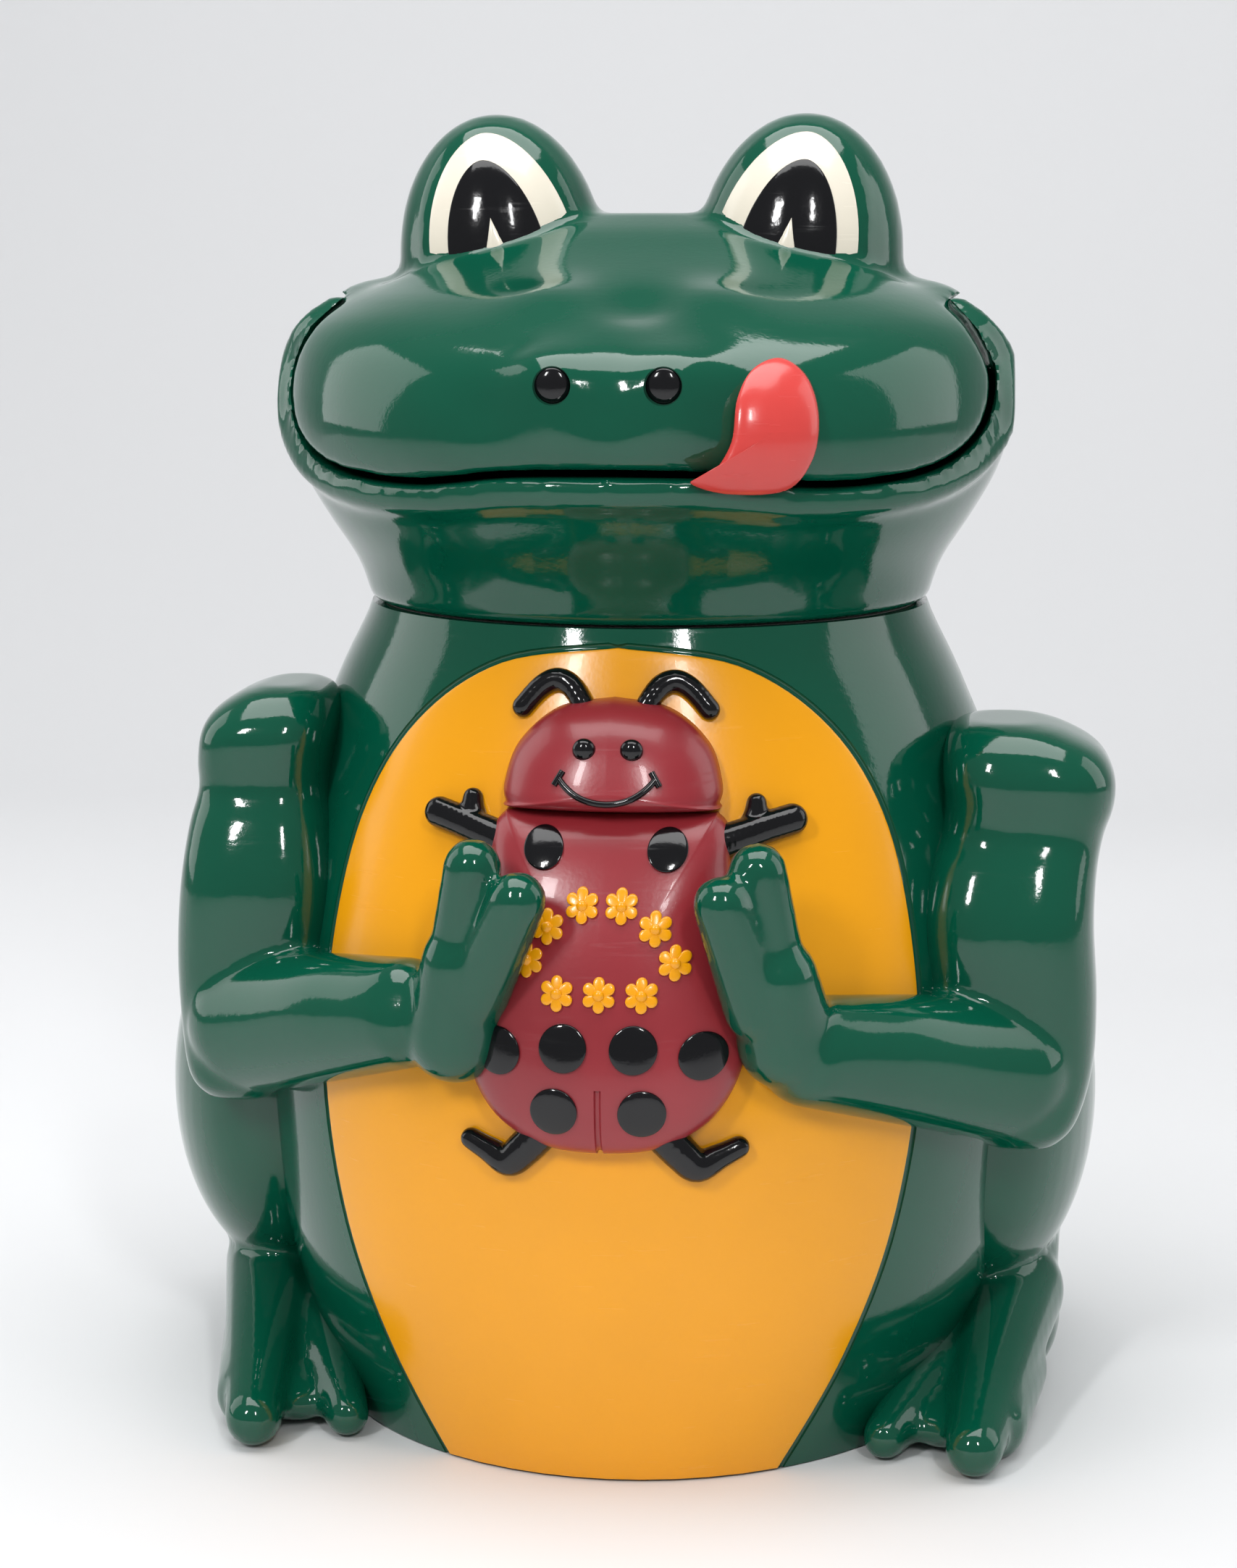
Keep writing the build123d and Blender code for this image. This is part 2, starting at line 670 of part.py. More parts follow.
board_centre = (26, -23)
board_size = (34, 26)
board_bottom = plate_top + 5.4
board_thick = 1.6
board_posts = [(12.5, -13), (39.5, -33)]
sensor_spot = (20, -28)

cell_radius = 7.1
cell_length = 49.0
cell_spots = (17.2, 32.8)   # the two cells lie along X at these distances to the back
cell_height = plate_top + 7.6
box_half_length = 28.7
box_front, box_back = 9.2, 40.8
box_wall = 1.6
box_height = 15.4
hatch_half_length = 27.2

hinge_y, hinge_z = 42.5, 185.4
hinge_radius = 1.8
hinge_pin_radius = 0.9
knuckle_x = (10, 20)
lug_x = (20.4, 23.4)

switch_centre = (37, 0)
switch_size = (12, 10, 6)
switch_travel = 4.0
knob_stem = (3.0, 2.8)
slot_size = (knob_stem[0] + switch_travel + 0.8, knob_stem[1] + 0.6)

speaker_ring_spots = [
    (speaker_spot[0] + speaker_ring_reach * cos(radians(a)),
     speaker_spot[1] + speaker_ring_reach * sin(radians(a)))
    for a in speaker_lugs
]
ring_level = plate_top + 2.6
ring_thick = 1.6


def slab(height, centre, size, thick):
    """A box on its lower face, from its centre and plan size."""
    with BuildPart() as made:
        with BuildSketch(Plane.XY.offset(height)):
            with Locations(centre):
                Rectangle(*size)
        extrude(amount=thick)
    return made.part


box_centre = (0, (box_front + box_back) / 2)
box_plan = (2 * box_half_length, box_back - box_front)

with BuildPart() as lid_base:
    with BuildSketch(Plane.XY.offset(plate_bottom)):
        Circle(plate_radius)
    extrude(amount=lid_plate_thick)
    with BuildSketch(Plane.XY.offset(plate_bottom)):
        Circle(spigot_radius)
        Circle(spigot_radius - spigot_wall, mode=Mode.SUBTRACT)
    extrude(amount=-spigot_depth)
    with BuildSketch(Plane.XY.offset(plate_bottom)):
        Circle(gasket_outer + 0.2)
        Circle(gasket_inner - 0.2, mode=Mode.SUBTRACT)
    extrude(amount=gasket_deep, mode=Mode.SUBTRACT)
    # battery box
    add(slab(plate_top, box_centre, (box_plan[0] + 2 * box_wall, box_plan[1] + 2 * box_wall),
             box_height + box_wall))
    add(slab(plate_top, box_centre, box_plan, box_height), mode=Mode.SUBTRACT)
    add(slab(plate_bottom - 1, box_centre, (2 * hatch_half_length, box_plan[1] - 0.4), 5), mode=Mode.SUBTRACT)
    # hinge lugs
    for x in (-sum(lug_x) / 2, sum(lug_x) / 2):
        add(slab(hinge_z - hinge_radius, (x, hinge_y), (lug_x[1] - lug_x[0], 2 * hinge_radius),
                 plate_bottom - hinge_z + hinge_radius + 0.1))
    with Locations(Location((0, hinge_y, hinge_z), (0, 90, 0))):
        Cylinder(hinge_pin_radius + 0.02, 60, mode=Mode.SUBTRACT)
    # board posts and speaker posts
    with BuildSketch(Plane.XY.offset(plate_top)):
        with Locations(board_posts):
            Circle(2.8)
    extrude(amount=board_bottom - plate_top)
    with BuildSketch(Plane.XY.offset(plate_top)):
        with Locations(speaker_ring_spots):
            Circle(3.0)
    extrude(amount=ring_level - plate_top)
    with Locations([(x, y, plate_top + 4) for x, y in board_posts + speaker_ring_spots]):
        Cylinder(0.9, 12, mode=Mode.SUBTRACT)
    # through holes
    with Locations([(x, y, plate_bottom) for x, y in lid_boss_spots]):
        Cylinder(screw_clearance, 12, mode=Mode.SUBTRACT)
    with Locations((*speaker_spot, plate_bottom)):
        Cylinder(grille_hole, 12, mode=Mode.SUBTRACT)
        for reach, count in ((5, 6), (10, 12), (14.5, 16)):
            with PolarLocations(reach, count):
                Cylinder(grille_hole, 12, mode=Mode.SUBTRACT)
    with Locations((*sensor_spot, plate_bottom)):
        Cylinder(3.2, 12, mode=Mode.SUBTRACT)
    add(slab(plate_bottom - 1, switch_centre, slot_size, 6), mode=Mode.SUBTRACT)
save(lid_base.part, "lid_base")

with BuildPart() as gasket:
    with BuildSketch(Plane.XY.offset(seam_height + 0.05)):
        Circle(gasket_outer)
        Circle(gasket_inner, mode=Mode.SUBTRACT)
    extrude(amount=plate_bottom - seam_height + gasket_deep - 0.1)
save(gasket.part, "lid_gasket")

with BuildPart() as lid_screws:
    with Locations([(x, y, plate_bottom - screw_head_deep + 0.25) for x, y in lid_boss_spots]):
        add(screw(screw_head_radius, screw_head_deep - 0.3, screw_radius, 13))
save(lid_screws.part, "lid_screws")

# ---------------------------------------------------------------- lid: sound unit
with BuildPart() as speaker:
    with BuildSketch(Plane.XZ):
        with BuildLine():
            Polyline((0, 4.4), (5.5, 4.4), (17, 0.9), (17, 0.1), (speaker_radius, 0.1), (speaker_radius, 2.4),
                     (18.4, 2.4), (11, 7.5), (11, 8.6), (9.5, 8.6), (9.5, 14), (0, 14), close=True)
        make_face()
    revolve(axis=Axis.Z)
save(speaker.part.translate((*speaker_spot, plate_top)), "speaker")

with BuildPart() as speaker_ring:
    with BuildSketch(Plane.XY.offset(ring_level + 0.05)):
        with Locations(speaker_spot):
            Circle(speaker_radius + 2)
        with Locations(speaker_ring_spots):
            Circle(3.4)
        with Locations(speaker_spot):
            Circle(18.8, mode=Mode.SUBTRACT)
        with Locations(speaker_ring_spots):
            Circle(1.3, mode=Mode.SUBTRACT)
    extrude(amount=ring_thick)
save(speaker_ring.part, "speaker_ring")

small_screw = screw(2.0, 1.1, 0.85, 6.0).rotate(Axis.X, 180)
with BuildPart() as speaker_screws:
    with Locations([(x, y, ring_level + ring_thick + 1.2) for x, y in speaker_ring_spots]):
        add(small_screw)
save(speaker_screws.part, "speaker_screws")

with BuildPart() as board:
    add(slab(board_bottom + 0.05, board_centre, board_size, board_thick))
    with Locations([(x, y, board_bottom) for x, y in board_posts]):
        Cylinder(1.3, 6, mode=Mode.SUBTRACT)
save(board.part, "circuit_board")

board_top = board_bottom + 0.05 + board_thick
with BuildPart() as board_screws:
    with Locations([(x, y, board_top + 1.15) for x, y in board_posts]):
        add(small_screw)
save(board_screws.part, "board_screws")

with BuildPart() as board_parts:
    with Locations((25, -21, board_top + 0.02)):
        Cone(4.5, 2.5, 1.8, align=(Align.CENTER, Align.CENTER, Align.MIN))
    with Locations((36, -17, board_top + 0.02)):
        Cylinder(3.1, 7.5, align=(Align.CENTER, Align.CENTER, Align.MIN))
    with Locations(*[Location((x, -31, board_top + 1.1), (90, 0, 0)) for x in (18, 23, 28)]):
        Cylinder(1.0, 5)
save(board_parts.part, "board_components")

with BuildPart() as light_sensor:
    with Locations((*sensor_spot, plate_top + 1.2)):
        Cylinder(2.5, board_bottom - plate_top - 1.2, align=(Align.CENTER, Align.CENTER, Align.MIN))
save(light_sensor.part, "light_sensor")

with BuildPart() as sensor_lens:
    with Locations((*sensor_spot, plate_bottom + 0.1)):
        Cylinder(3.1, lid_plate_thick - 0.05, align=(Align.CENTER, Align.CENTER, Align.MIN))
    with Locations((*sensor_spot, plate_top + 0.05)):
        Cylinder(4.4, 0.8, align=(Align.CENTER, Align.CENTER, Align.MIN))
save(sensor_lens.part, "sensor_lens")

with BuildPart() as cells:
    for y, turn in zip(cell_spots, (90, -90)):
        with Locations(Location((0, y, cell_height), (0, turn, 0))):
            Cylinder(cell_radius, cell_length)
        with Locations(Location((copysign(cell_length / 2 + 0.7, turn), y, cell_height), (0, turn, 0))):
            Cylinder(2.7, 1.4)
save(cells.part, "battery_cells")

# Sprung contact plates: one joins the two cells at +X, and one serves each cell at -X.
contact_thick = 0.5
contact_x = box_half_length - 0.1 - contact_thick / 2
with BuildPart() as contacts:
    with Locations((contact_x, box_centre[1], cell_height)):
        Box(contact_thick, 26, 10)
    with Locations([(-contact_x, y, cell_height) for y in cell_spots]):
        Box(contact_thick, 9, 10)
    for y, out in zip(cell_spots, (0.0, 1.4)):
        for side, tip in ((1, out), (-1, 1.4 - out)):
            height = contact_x - contact_thick / 2 - cell_length / 2 - (1.4 - tip) - 0.1
            seat = Location((side * (contact_x - contact_thick / 2), y, cell_height), (0, -90 * side, 0))
            with Locations(seat):
                Cone(3.6, 1.6, height, align=(Align.CENTER, Align.CENTER, Align.MIN))
save(contacts.part, "battery_contacts")

with BuildPart() as door:
    hatch_plan = (2 * hatch_half_length - 0.8, box_plan[1] - 1.2)
    add(slab(plate_bottom - 0.4, box_centre, hatch_plan, 2.0))
    add(slab(plate_bottom - 1.9, (0, box_front - 0.6), (14, 5), 1.5))
    for x in (-sum(knuckle_x) / 2, sum(knuckle_x) / 2):
        width = knuckle_x[1] - knuckle_x[0]
        add(slab(hinge_z, (x, hinge_y - 2.2), (width, 4.4), plate_bottom - 0.2 - hinge_z))
        with Locations(Location((x, hinge_y, hinge_z), (0, 90, 0))):
            Cylinder(hinge_radius, width)
    with Locations(Location((0, hinge_y, hinge_z), (0, 90, 0))):
        Cylinder(hinge_pin_radius + 0.07, 60, mode=Mode.SUBTRACT)
save(door.part, "battery_door")

with BuildPart() as hinge_pin:
    with Locations(Location((0, hinge_y, hinge_z), (0, 90, 0))):
        Cylinder(hinge_pin_radius, 2 * lug_x[1])
    chamfer(hinge_pin.edges(), 0.2)
save(hinge_pin.part, "door_hinge_pin")

with BuildPart() as switch_body:
    add(slab(plate_top + 0.05, switch_centre, switch_size[:2], switch_size[2]))
    add(slab(plate_top, switch_centre, slot_size, 3.6), mode=Mode.SUBTRACT)
save(switch_body.part, "switch_body")

with BuildPart() as knob:
    knob_x = switch_centre[0] - switch_travel / 2
    add(slab(plate_bottom - 1.0, (knob_x, 0), knob_stem, lid_plate_thick + 4.2))
    add(slab(plate_bottom - 2.0, (knob_x, 0), (6.4, 5.6), 1.6))
    chamfer(knob.faces().sort_by(Axis.Z)[0].edges(), 0.4)
save(knob.part, "power_switch")
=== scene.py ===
import bpy
import math
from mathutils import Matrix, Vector
from mathutils.bvhtree import BVHTree


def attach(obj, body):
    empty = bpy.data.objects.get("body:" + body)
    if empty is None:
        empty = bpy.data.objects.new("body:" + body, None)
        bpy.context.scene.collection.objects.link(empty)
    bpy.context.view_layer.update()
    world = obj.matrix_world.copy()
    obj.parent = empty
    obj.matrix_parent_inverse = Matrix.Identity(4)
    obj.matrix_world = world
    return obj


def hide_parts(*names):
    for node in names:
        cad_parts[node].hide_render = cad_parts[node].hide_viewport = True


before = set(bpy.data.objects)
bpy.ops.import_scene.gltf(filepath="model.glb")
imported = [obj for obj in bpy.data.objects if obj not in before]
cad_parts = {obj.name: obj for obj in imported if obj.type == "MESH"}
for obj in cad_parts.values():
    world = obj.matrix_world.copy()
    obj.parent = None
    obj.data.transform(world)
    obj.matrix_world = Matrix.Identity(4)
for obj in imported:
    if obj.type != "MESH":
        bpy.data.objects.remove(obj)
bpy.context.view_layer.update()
mm = 0.001
inFront = -0.3        # metres: clear of the frog, towards the camera
print("frame loaded:", len(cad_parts), "CAD nodes")

# camera: level with the frog's forehead, a little to its left, looking slightly down
camera = {
    "turn": 6.5,          # degrees round from straight in front
    "distance": 737.0,
    "height": 268.0,
    "pitch": 9.74,        # degrees down
    "sideways": -7.5,
    "lens": 71.14,        # on a 36 mm film, long side
}


def placeCamera(values):
    turn, pitch = math.radians(values["turn"]), math.radians(values["pitch"])
    right = Vector((math.cos(turn), math.sin(turn), 0))
    away = Vector((-math.sin(turn), math.cos(turn), 0))
    spot = (-away * values["distance"] + right * values["sideways"] + Vector((0, 0, values["height"]))) * mm
    bpy.ops.object.camera_add(location=spot, rotation=(math.pi / 2 - pitch, 0, turn))
    made = bpy.context.object
    made.name = "camera"
    made.data.lens = values["lens"]
    made.data.sensor_width = 36
    made.data.sensor_fit = "AUTO"
    made.data.clip_start = 0.05
    bpy.context.scene.camera = made


placeCamera(camera)


# small tools
def clearSelection():
    if bpy.context.object and bpy.context.object.mode != "OBJECT":
        bpy.ops.object.mode_set(mode="OBJECT")
    bpy.ops.object.select_all(action="DESELECT")


def pick(*pieces):
    clearSelection()
    for piece in pieces:
        piece.select_set(True)
    bpy.context.view_layer.objects.active = pieces[0]


def join(pieces, name):
    pick(*pieces)
    bpy.ops.object.join()
    made = bpy.context.object
    made.name = name
    return made


def bake(piece):
    pick(piece)
    bpy.ops.object.transform_apply(location=True, rotation=True, scale=True)


def outwards(piece):
    # turns every face to look out of the solid
    pick(piece)
    bpy.ops.object.mode_set(mode="EDIT")
    bpy.ops.mesh.select_all(action="SELECT")
    bpy.ops.mesh.normals_make_consistent(inside=False)
    bpy.ops.object.mode_set(mode="OBJECT")


def applyModifier(piece, kind, **settings):
    pick(piece)
    modifier = piece.modifiers.new(kind.lower(), kind)
    for key, value in settings.items():
        setattr(modifier, key, value)
    bpy.ops.object.modifier_apply(modifier=modifier.name)


def shadeSmooth(piece, creaseDegrees=None):
    pick(piece)
    if creaseDegrees is None:
        bpy.ops.object.shade_smooth()
    else:
        bpy.ops.object.shade_smooth_by_angle(angle=math.radians(creaseDegrees))


def ball(centre, radii, turn=(0, 0, 0), segments=48, rings=32):
    # an ellipsoid from a sphere primitive
    clearSelection()
    bpy.ops.mesh.primitive_uv_sphere_add(
        segments=segments, ring_count=rings, radius=1, location=Vector(centre) * mm,
        rotation=[math.radians(a) for a in turn], scale=[r * mm for r in radii])
    made = bpy.context.object
    bake(made)
    return made


def sausage(start, end, startRadius, endRadius):
    # a ball pulled out along its axis, its far half rescaled
    clearSelection()
    axis = (Vector(end) - Vector(start)) * mm
    bpy.ops.mesh.primitive_uv_sphere_add(segments=32, ring_count=20, radius=startRadius * mm)
    made = bpy.context.object
    for v in made.data.vertices:
        v.select = v.co.z > 1e-6
    for e in made.data.edges:
        e.select = all(made.data.vertices[i].select for i in e.vertices)
    for f in made.data.polygons:
        f.select = all(made.data.vertices[i].select for i in f.vertices)
    bpy.ops.object.mode_set(mode="EDIT")
    ratio = endRadius / startRadius
    bpy.ops.transform.resize(value=(ratio, ratio, ratio), center_override=(0, 0, 0))
    bpy.ops.transform.translate(value=(0, 0, axis.length))
    bpy.ops.object.mode_set(mode="OBJECT")
    made.rotation_mode = "QUATERNION"
    made.rotation_quaternion = Vector((0, 0, 1)).rotation_difference(axis)
    made.location = Vector(start) * mm
    bake(made)
    return made


def fuse(name, parts, voxel, smooth):
    # one skin over all the parts, with soft creases
    made = join(parts, name)
    applyModifier(made, "REMESH", mode="VOXEL", voxel_size=voxel * mm)
    applyModifier(made, "SMOOTH", factor=0.5, iterations=smooth)
    shadeSmooth(made)
    return made


def curveThrough(points, steps=6, closed=False):
    # a smooth line through a few points, sampled evenly between each pair
    count = len(points)
    line = []
    for i in range(count if closed else count - 1):
        if closed:
            four = [points[(i + k) % count] for k in (-1, 0, 1, 2)]
        else:
            four = [points[min(max(i + k, 0), count - 1)] for k in (-1, 0, 1, 2)]
        for step in range(steps):
            t = step / steps
            line.append([
                0.5 * (2 * b + (c - a) * t + (2 * a - 5 * b + 4 * c - d) * t * t
                       + (3 * b - a - 3 * c + d) * t ** 3)
                for a, b, c, d in zip(*four)])
    if not closed:
        line.append(list(points[-1]))
    return line


def bothSides(half):
    # a half outline that starts on the middle line, closed with its mirror image
    right = [tuple(p) for p in half]
    left = [(-x, z) for x, z in reversed(right) if abs(x) > 1e-6]
    return right + left


def prism(name, outline, near, far):
    # a front-view outline as a block from y = near to y = far
    clearSelection()
    shape = bpy.data.curves.new(name, "CURVE")
    shape.dimensions = "2D"
    shape.fill_mode = "BOTH"
    spline = shape.splines.new("POLY")
    spline.points.add(len(outline) - 1)
    for point, (x, z) in zip(spline.points, outline):
        point.co = (x * mm, z * mm, 0, 1)
    spline.use_cyclic_u = True
    shape.extrude = (far - near) / 2 * mm
    made = bpy.data.objects.new(name, shape)
    bpy.context.scene.collection.objects.link(made)
    pick(made)
    bpy.ops.object.convert(target="MESH")
    made = bpy.context.object
    made.rotation_euler = (math.pi / 2, 0, 0)
    made.location = (0, (near + far) / 2 * mm, 0)
    bake(made)
    pick(made)
    bpy.ops.object.mode_set(mode="EDIT")
    bpy.ops.mesh.select_all(action="SELECT")
    bpy.ops.mesh.remove_doubles(threshold=1e-6)
    bpy.ops.object.mode_set(mode="OBJECT")
    outwards(made)
    return made


def block(low, high):
    # a box between two corners; a cutting box reaches well past the frog on its open sides
    clearSelection()
    centre = [(a + b) / 2 * mm for a, b in zip(low, high)]
    bpy.ops.mesh.primitive_cube_add(size=1, location=centre, scale=[(b - a) * mm for a, b in zip(low, high)])
    made = bpy.context.object
    bake(made)
    return made


def rod(centre, radius, height, vertices=96):
    clearSelection()
    bpy.ops.mesh.primitive_cylinder_add(vertices=vertices, radius=radius * mm, depth=height * mm,
                                        location=Vector(centre) * mm)
    made = bpy.context.object
    bake(made)
    return made


def cut(piece, tool, how="DIFFERENCE"):
    applyModifier(piece, "BOOLEAN", operation=how, solver="EXACT", object=tool)
    bpy.data.objects.remove(tool)


def copyOf(piece, name):
    made = piece.copy()
    made.data = piece.data.copy()
    made.name = name
    bpy.context.scene.collection.objects.link(made)
    return made


def brush(piece, dabs):
    # soft pushes: (centre, radius, push), all in millimetres
    farthest = 2.2        # in radii: a push is lost beyond this
    for centre, radius, push in dabs:
        middle, shove, reach = Vector(centre) * mm, Vector(push) * mm, radius * mm
        for v in piece.data.vertices:
            share = (v.co - middle).length / reach
            if share < farthest:
                v.co += shove * math.exp(-share * share)
    piece.data.update()


def stackRings(name, rings, segments, place):
    # a column over rings that start with their height; place puts each point of a unit circle on its ring
    clearSelection()
    foot = (0, 0, rings[0][0] * mm)
    bpy.ops.mesh.primitive_circle_add(vertices=segments, radius=1, fill_type="NGON", location=foot)
    made = bpy.context.object
    bake(made)
    bpy.ops.object.mode_set(mode="EDIT")
    bpy.ops.mesh.select_all(action="SELECT")
    for below, above in zip(rings, rings[1:]):
        rise = (0, 0, (above[0] - below[0]) * mm)
        bpy.ops.mesh.extrude_region_move(TRANSFORM_OT_translate={"value": rise})
    bpy.ops.object.mode_set(mode="OBJECT")
    for v in made.data.vertices:
        nearest = min(rings, key=lambda ring: abs(ring[0] * mm - v.co.z))
        v.co.x, v.co.y = place(v.co.x, v.co.y, *nearest[1:])
    outwards(made)
    made.name = name
    return made


def ringForm(name, rings, segments):
    # an oval column: (height, half width, reach to the front, reach to the back)
    def place(x, y, wide, front, back):
        return x * (wide * mm), y * ((front if y < 0 else back) * mm)
    return stackRings(name, rings, segments, place)


def postForm(name, rings, square, segments):
    # a squarish column: (height, inner edge, outer edge, front, back)
    power = 2 / square

    def place(x, y, inner, outer, front, back):
        across = math.copysign(abs(x) ** power, x)
        deep = math.copysign(abs(y) ** power, y)
        return (((inner + outer) / 2 + across * (outer - inner) / 2) * mm,
                ((front + back) / 2 + deep * (back - front) / 2) * mm)
    return stackRings(name, rings, segments, place)


def fineRings(rings, steps):
    # more rings, on a smooth curve through the given ones
    return [tuple(ring) for ring in curveThrough(rings, steps)]


def treeOf(*pieces):
    verts, faces = [], []
    for piece in pieces:
        start = len(verts)
        verts += [v.co.copy() for v in piece.data.vertices]
        faces += [[start + i for i in p.vertices] for p in piece.data.polygons]
    return BVHTree.FromPolygons(verts, faces)


def hitFromFront(tree, x, z):
    # the first point that a line from the front meets, in metres, or None where it passes beside
    return tree.ray_cast(Vector((x, inFront, z)), Vector((0, 1, 0)))[0]


def surfaceAt(tree, x, z):
    # how deep the surface lies at a place seen from the front, stepping inwards where there is none
    inwards, tries = 0.99, 80
    for i in range(tries):
        hit = hitFromFront(tree, x * inwards ** i * mm, z * mm)
        if hit is not None:
            return hit.y / mm
    return 0.0


def settle(piece, tree):
    # slides every point back until the piece's flat rear lies on the surface behind it
    for v in piece.data.vertices:
        hit = hitFromFront(tree, v.co.x, v.co.z)
        if hit is not None:
            v.co.y += hit.y
    piece.data.update()


def plaque(name, outline, centre, height, edge=1.0, sink=1.2, rings=14, swell=2.2):
    # a domed badge on the plane y = 0: rings of its outline drawn in towards a centre and raised
    clearSelection()
    count = len(outline)
    bpy.ops.mesh.primitive_circle_add(vertices=count, radius=1, fill_type="NOTHING")
    made = bpy.context.object
    for v, (x, z) in zip(made.data.vertices, outline):
        v.co = (x * mm, sink * mm, z * mm)
    bpy.ops.object.mode_set(mode="EDIT")
    bpy.ops.mesh.select_all(action="SELECT")
    middle = (centre[0] * mm, 0, centre[1] * mm)
    wall, lastSize = edge * 0.6, 0.02
    bpy.ops.mesh.extrude_region_move(TRANSFORM_OT_translate={"value": (0, -(sink + wall) * mm, 0)})
    size, level = 1.0, wall
    for ring in range(1, rings + 1):
        nextSize = math.cos(ring / rings * math.pi / 2) if ring < rings else lastSize
        rise = wall + (height - wall) * (1 - nextSize ** swell) ** 0.5
        bpy.ops.mesh.extrude_region_move(TRANSFORM_OT_translate={"value": (0, -(rise - level) * mm, 0)})
        ratio = nextSize / size
        bpy.ops.transform.resize(value=(ratio, 1, ratio), center_override=middle)
        size, level = nextSize, rise
    bpy.ops.mesh.edge_face_add()
    bpy.ops.mesh.select_all(action="SELECT")
    bpy.ops.mesh.region_to_loop()
    bpy.ops.mesh.edge_face_add()
    outwards(made)
    made.name = name
    shadeSmooth(made)
    return made


def oval(centre, across, up, lean=0.0, count=64, square=2.0):
    # leans to the right by so many degrees; a square of over 2 fills its corners, under 2 cuts them
    turn = math.radians(lean)
    points = []
    for i in range(count):
        a = 2 * math.pi * i / count
        x = across * math.copysign(abs(math.cos(a)) ** (2 / square), math.cos(a))
        z = up * math.copysign(abs(math.sin(a)) ** (2 / square), math.sin(a))
        points.append((centre[0] + x * math.cos(turn) + z * math.sin(turn),
                       centre[1] - x * math.sin(turn) + z * math.cos(turn)))
    return points


def mirrored(piece, name):
    made = copyOf(piece, name)
    pick(made)
    bpy.ops.object.mode_set(mode="EDIT")
    bpy.ops.mesh.select_all(action="SELECT")
    bpy.ops.transform.resize(value=(-1, 1, 1), center_override=(0, 0, 0))
    bpy.ops.object.mode_set(mode="OBJECT")
    outwards(made)
    return made


def hand(piece, body, material, slotName, *nodes):
    # gives a finished piece its finish, its body and the CAD nodes that it stands for
    piece.data.materials.clear()
    piece.data.materials.append(material)
    pick(piece)
    if nodes:
        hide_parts(*nodes)
    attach(piece, body)
    print("made", piece.name, len(piece.data.polygons))


def tube(name, points, radius, sizes=None):
    # a round bead along a line of points, its radius scaled by a size at each
    clearSelection()
    shape = bpy.data.curves.new(name, "CURVE")
    shape.dimensions = "3D"
    shape.bevel_depth = radius * mm
    shape.bevel_resolution = 4
    shape.use_fill_caps = True
    spline = shape.splines.new("POLY")
    spline.points.add(len(points) - 1)
    for i, (x, y, z) in enumerate(points):
        spline.points[i].co = (x * mm, y * mm, z * mm, 1)
        spline.points[i].radius = sizes[i] if sizes else 1.0
    made = bpy.data.objects.new(name, shape)
    bpy.context.scene.collection.objects.link(made)
    pick(made)
    bpy.ops.object.convert(target="MESH")
    return bpy.context.object


def offsetLine(line, by):
    # moves an open line sideways, to the right of its direction for a positive amount
    moved = []
    for i, (x, z) in enumerate(line):
        before, after = line[max(i - 1, 0)], line[min(i + 1, len(line) - 1)]
        dx, dz = after[0] - before[0], after[1] - before[1]
        length = math.hypot(dx, dz)
        moved.append((x + dz / length * by, z - dx / length * by))
    return moved


# finishes
def newFinish(name):
    made = bpy.data.materials.new(name)
    made.use_nodes = True
    return made, made.node_tree.nodes["Principled BSDF"]


def placeOutput(made):
    # the piece's own coordinates, which keep a pattern still when the piece moves
    return made.node_tree.nodes.new("ShaderNodeTexCoord").outputs["Object"]


def setInputs(node, values):
    for name, value in values.items():
        node.inputs[name].default_value = value


def addNode(made, kind, source, target, values):
    # a node with its settings, fed from one output
    node = made.node_tree.nodes.new(kind)
    setInputs(node, values)
    made.node_tree.links.new(source, node.inputs[target])
    return node


def tintBetween(made, source, shader, dark, light, spread):
    # a ramp from a dark tint to a light one, into the shader's colour
    ramp = addNode(made, "ShaderNodeValToRGB", source, "Fac", {})
    for stop, colour, position in zip(ramp.color_ramp.elements, (dark, light), spread):
        stop.color = (*colour, 1)
        stop.position = position
    made.node_tree.links.new(ramp.outputs["Color"], shader.inputs["Base Color"])


def plastic(name, colour, roughness, shift=0.06, grain=0.00012, grainSize=900.0, scratch=0.25,
            sheenCoat=0.35):
    # moulded plastic: a slightly cloudy colour, a fine skin and thin handling scratches
    made, shader = newFinish(name)
    links, coords = made.node_tree.links, placeOutput(made)
    cloud = addNode(made, "ShaderNodeTexNoise", coords, "Vector", {"Scale": 22.0, "Detail": 5.0})
    dark = [c * (1 - shift) for c in colour]
    light = [min(1, c * (1 + shift)) for c in colour]
    tintBetween(made, cloud.outputs["Fac"], shader, dark, light, (0.3, 0.7))

    stretch = addNode(made, "ShaderNodeMapping", coords, "Vector",
                      {"Scale": (60, 60, 900), "Rotation": (0.6, 0.9, 0.3)})
    lines = addNode(made, "ShaderNodeTexNoise", stretch.outputs["Vector"], "Vector",
                    {"Scale": 1.0, "Detail": 3.0})
    worn = addNode(made, "ShaderNodeMapRange", lines.outputs["Fac"], "Value",
                   {"From Min": 0.6, "From Max": 0.85, "To Min": roughness, "To Max": roughness + scratch})
    links.new(worn.outputs["Result"], shader.inputs["Roughness"])

    skin = addNode(made, "ShaderNodeTexNoise", coords, "Vector", {"Scale": grainSize, "Detail": 2.0})
    bump = addNode(made, "ShaderNodeBump", skin.outputs["Fac"], "Height",
                   {"Strength": 0.15, "Distance": grain})
    links.new(bump.outputs["Normal"], shader.inputs["Normal"])
    setInputs(shader, {"IOR": 1.5, "Coat Weight": sheenCoat, "Coat Roughness": 0.04})
    return made


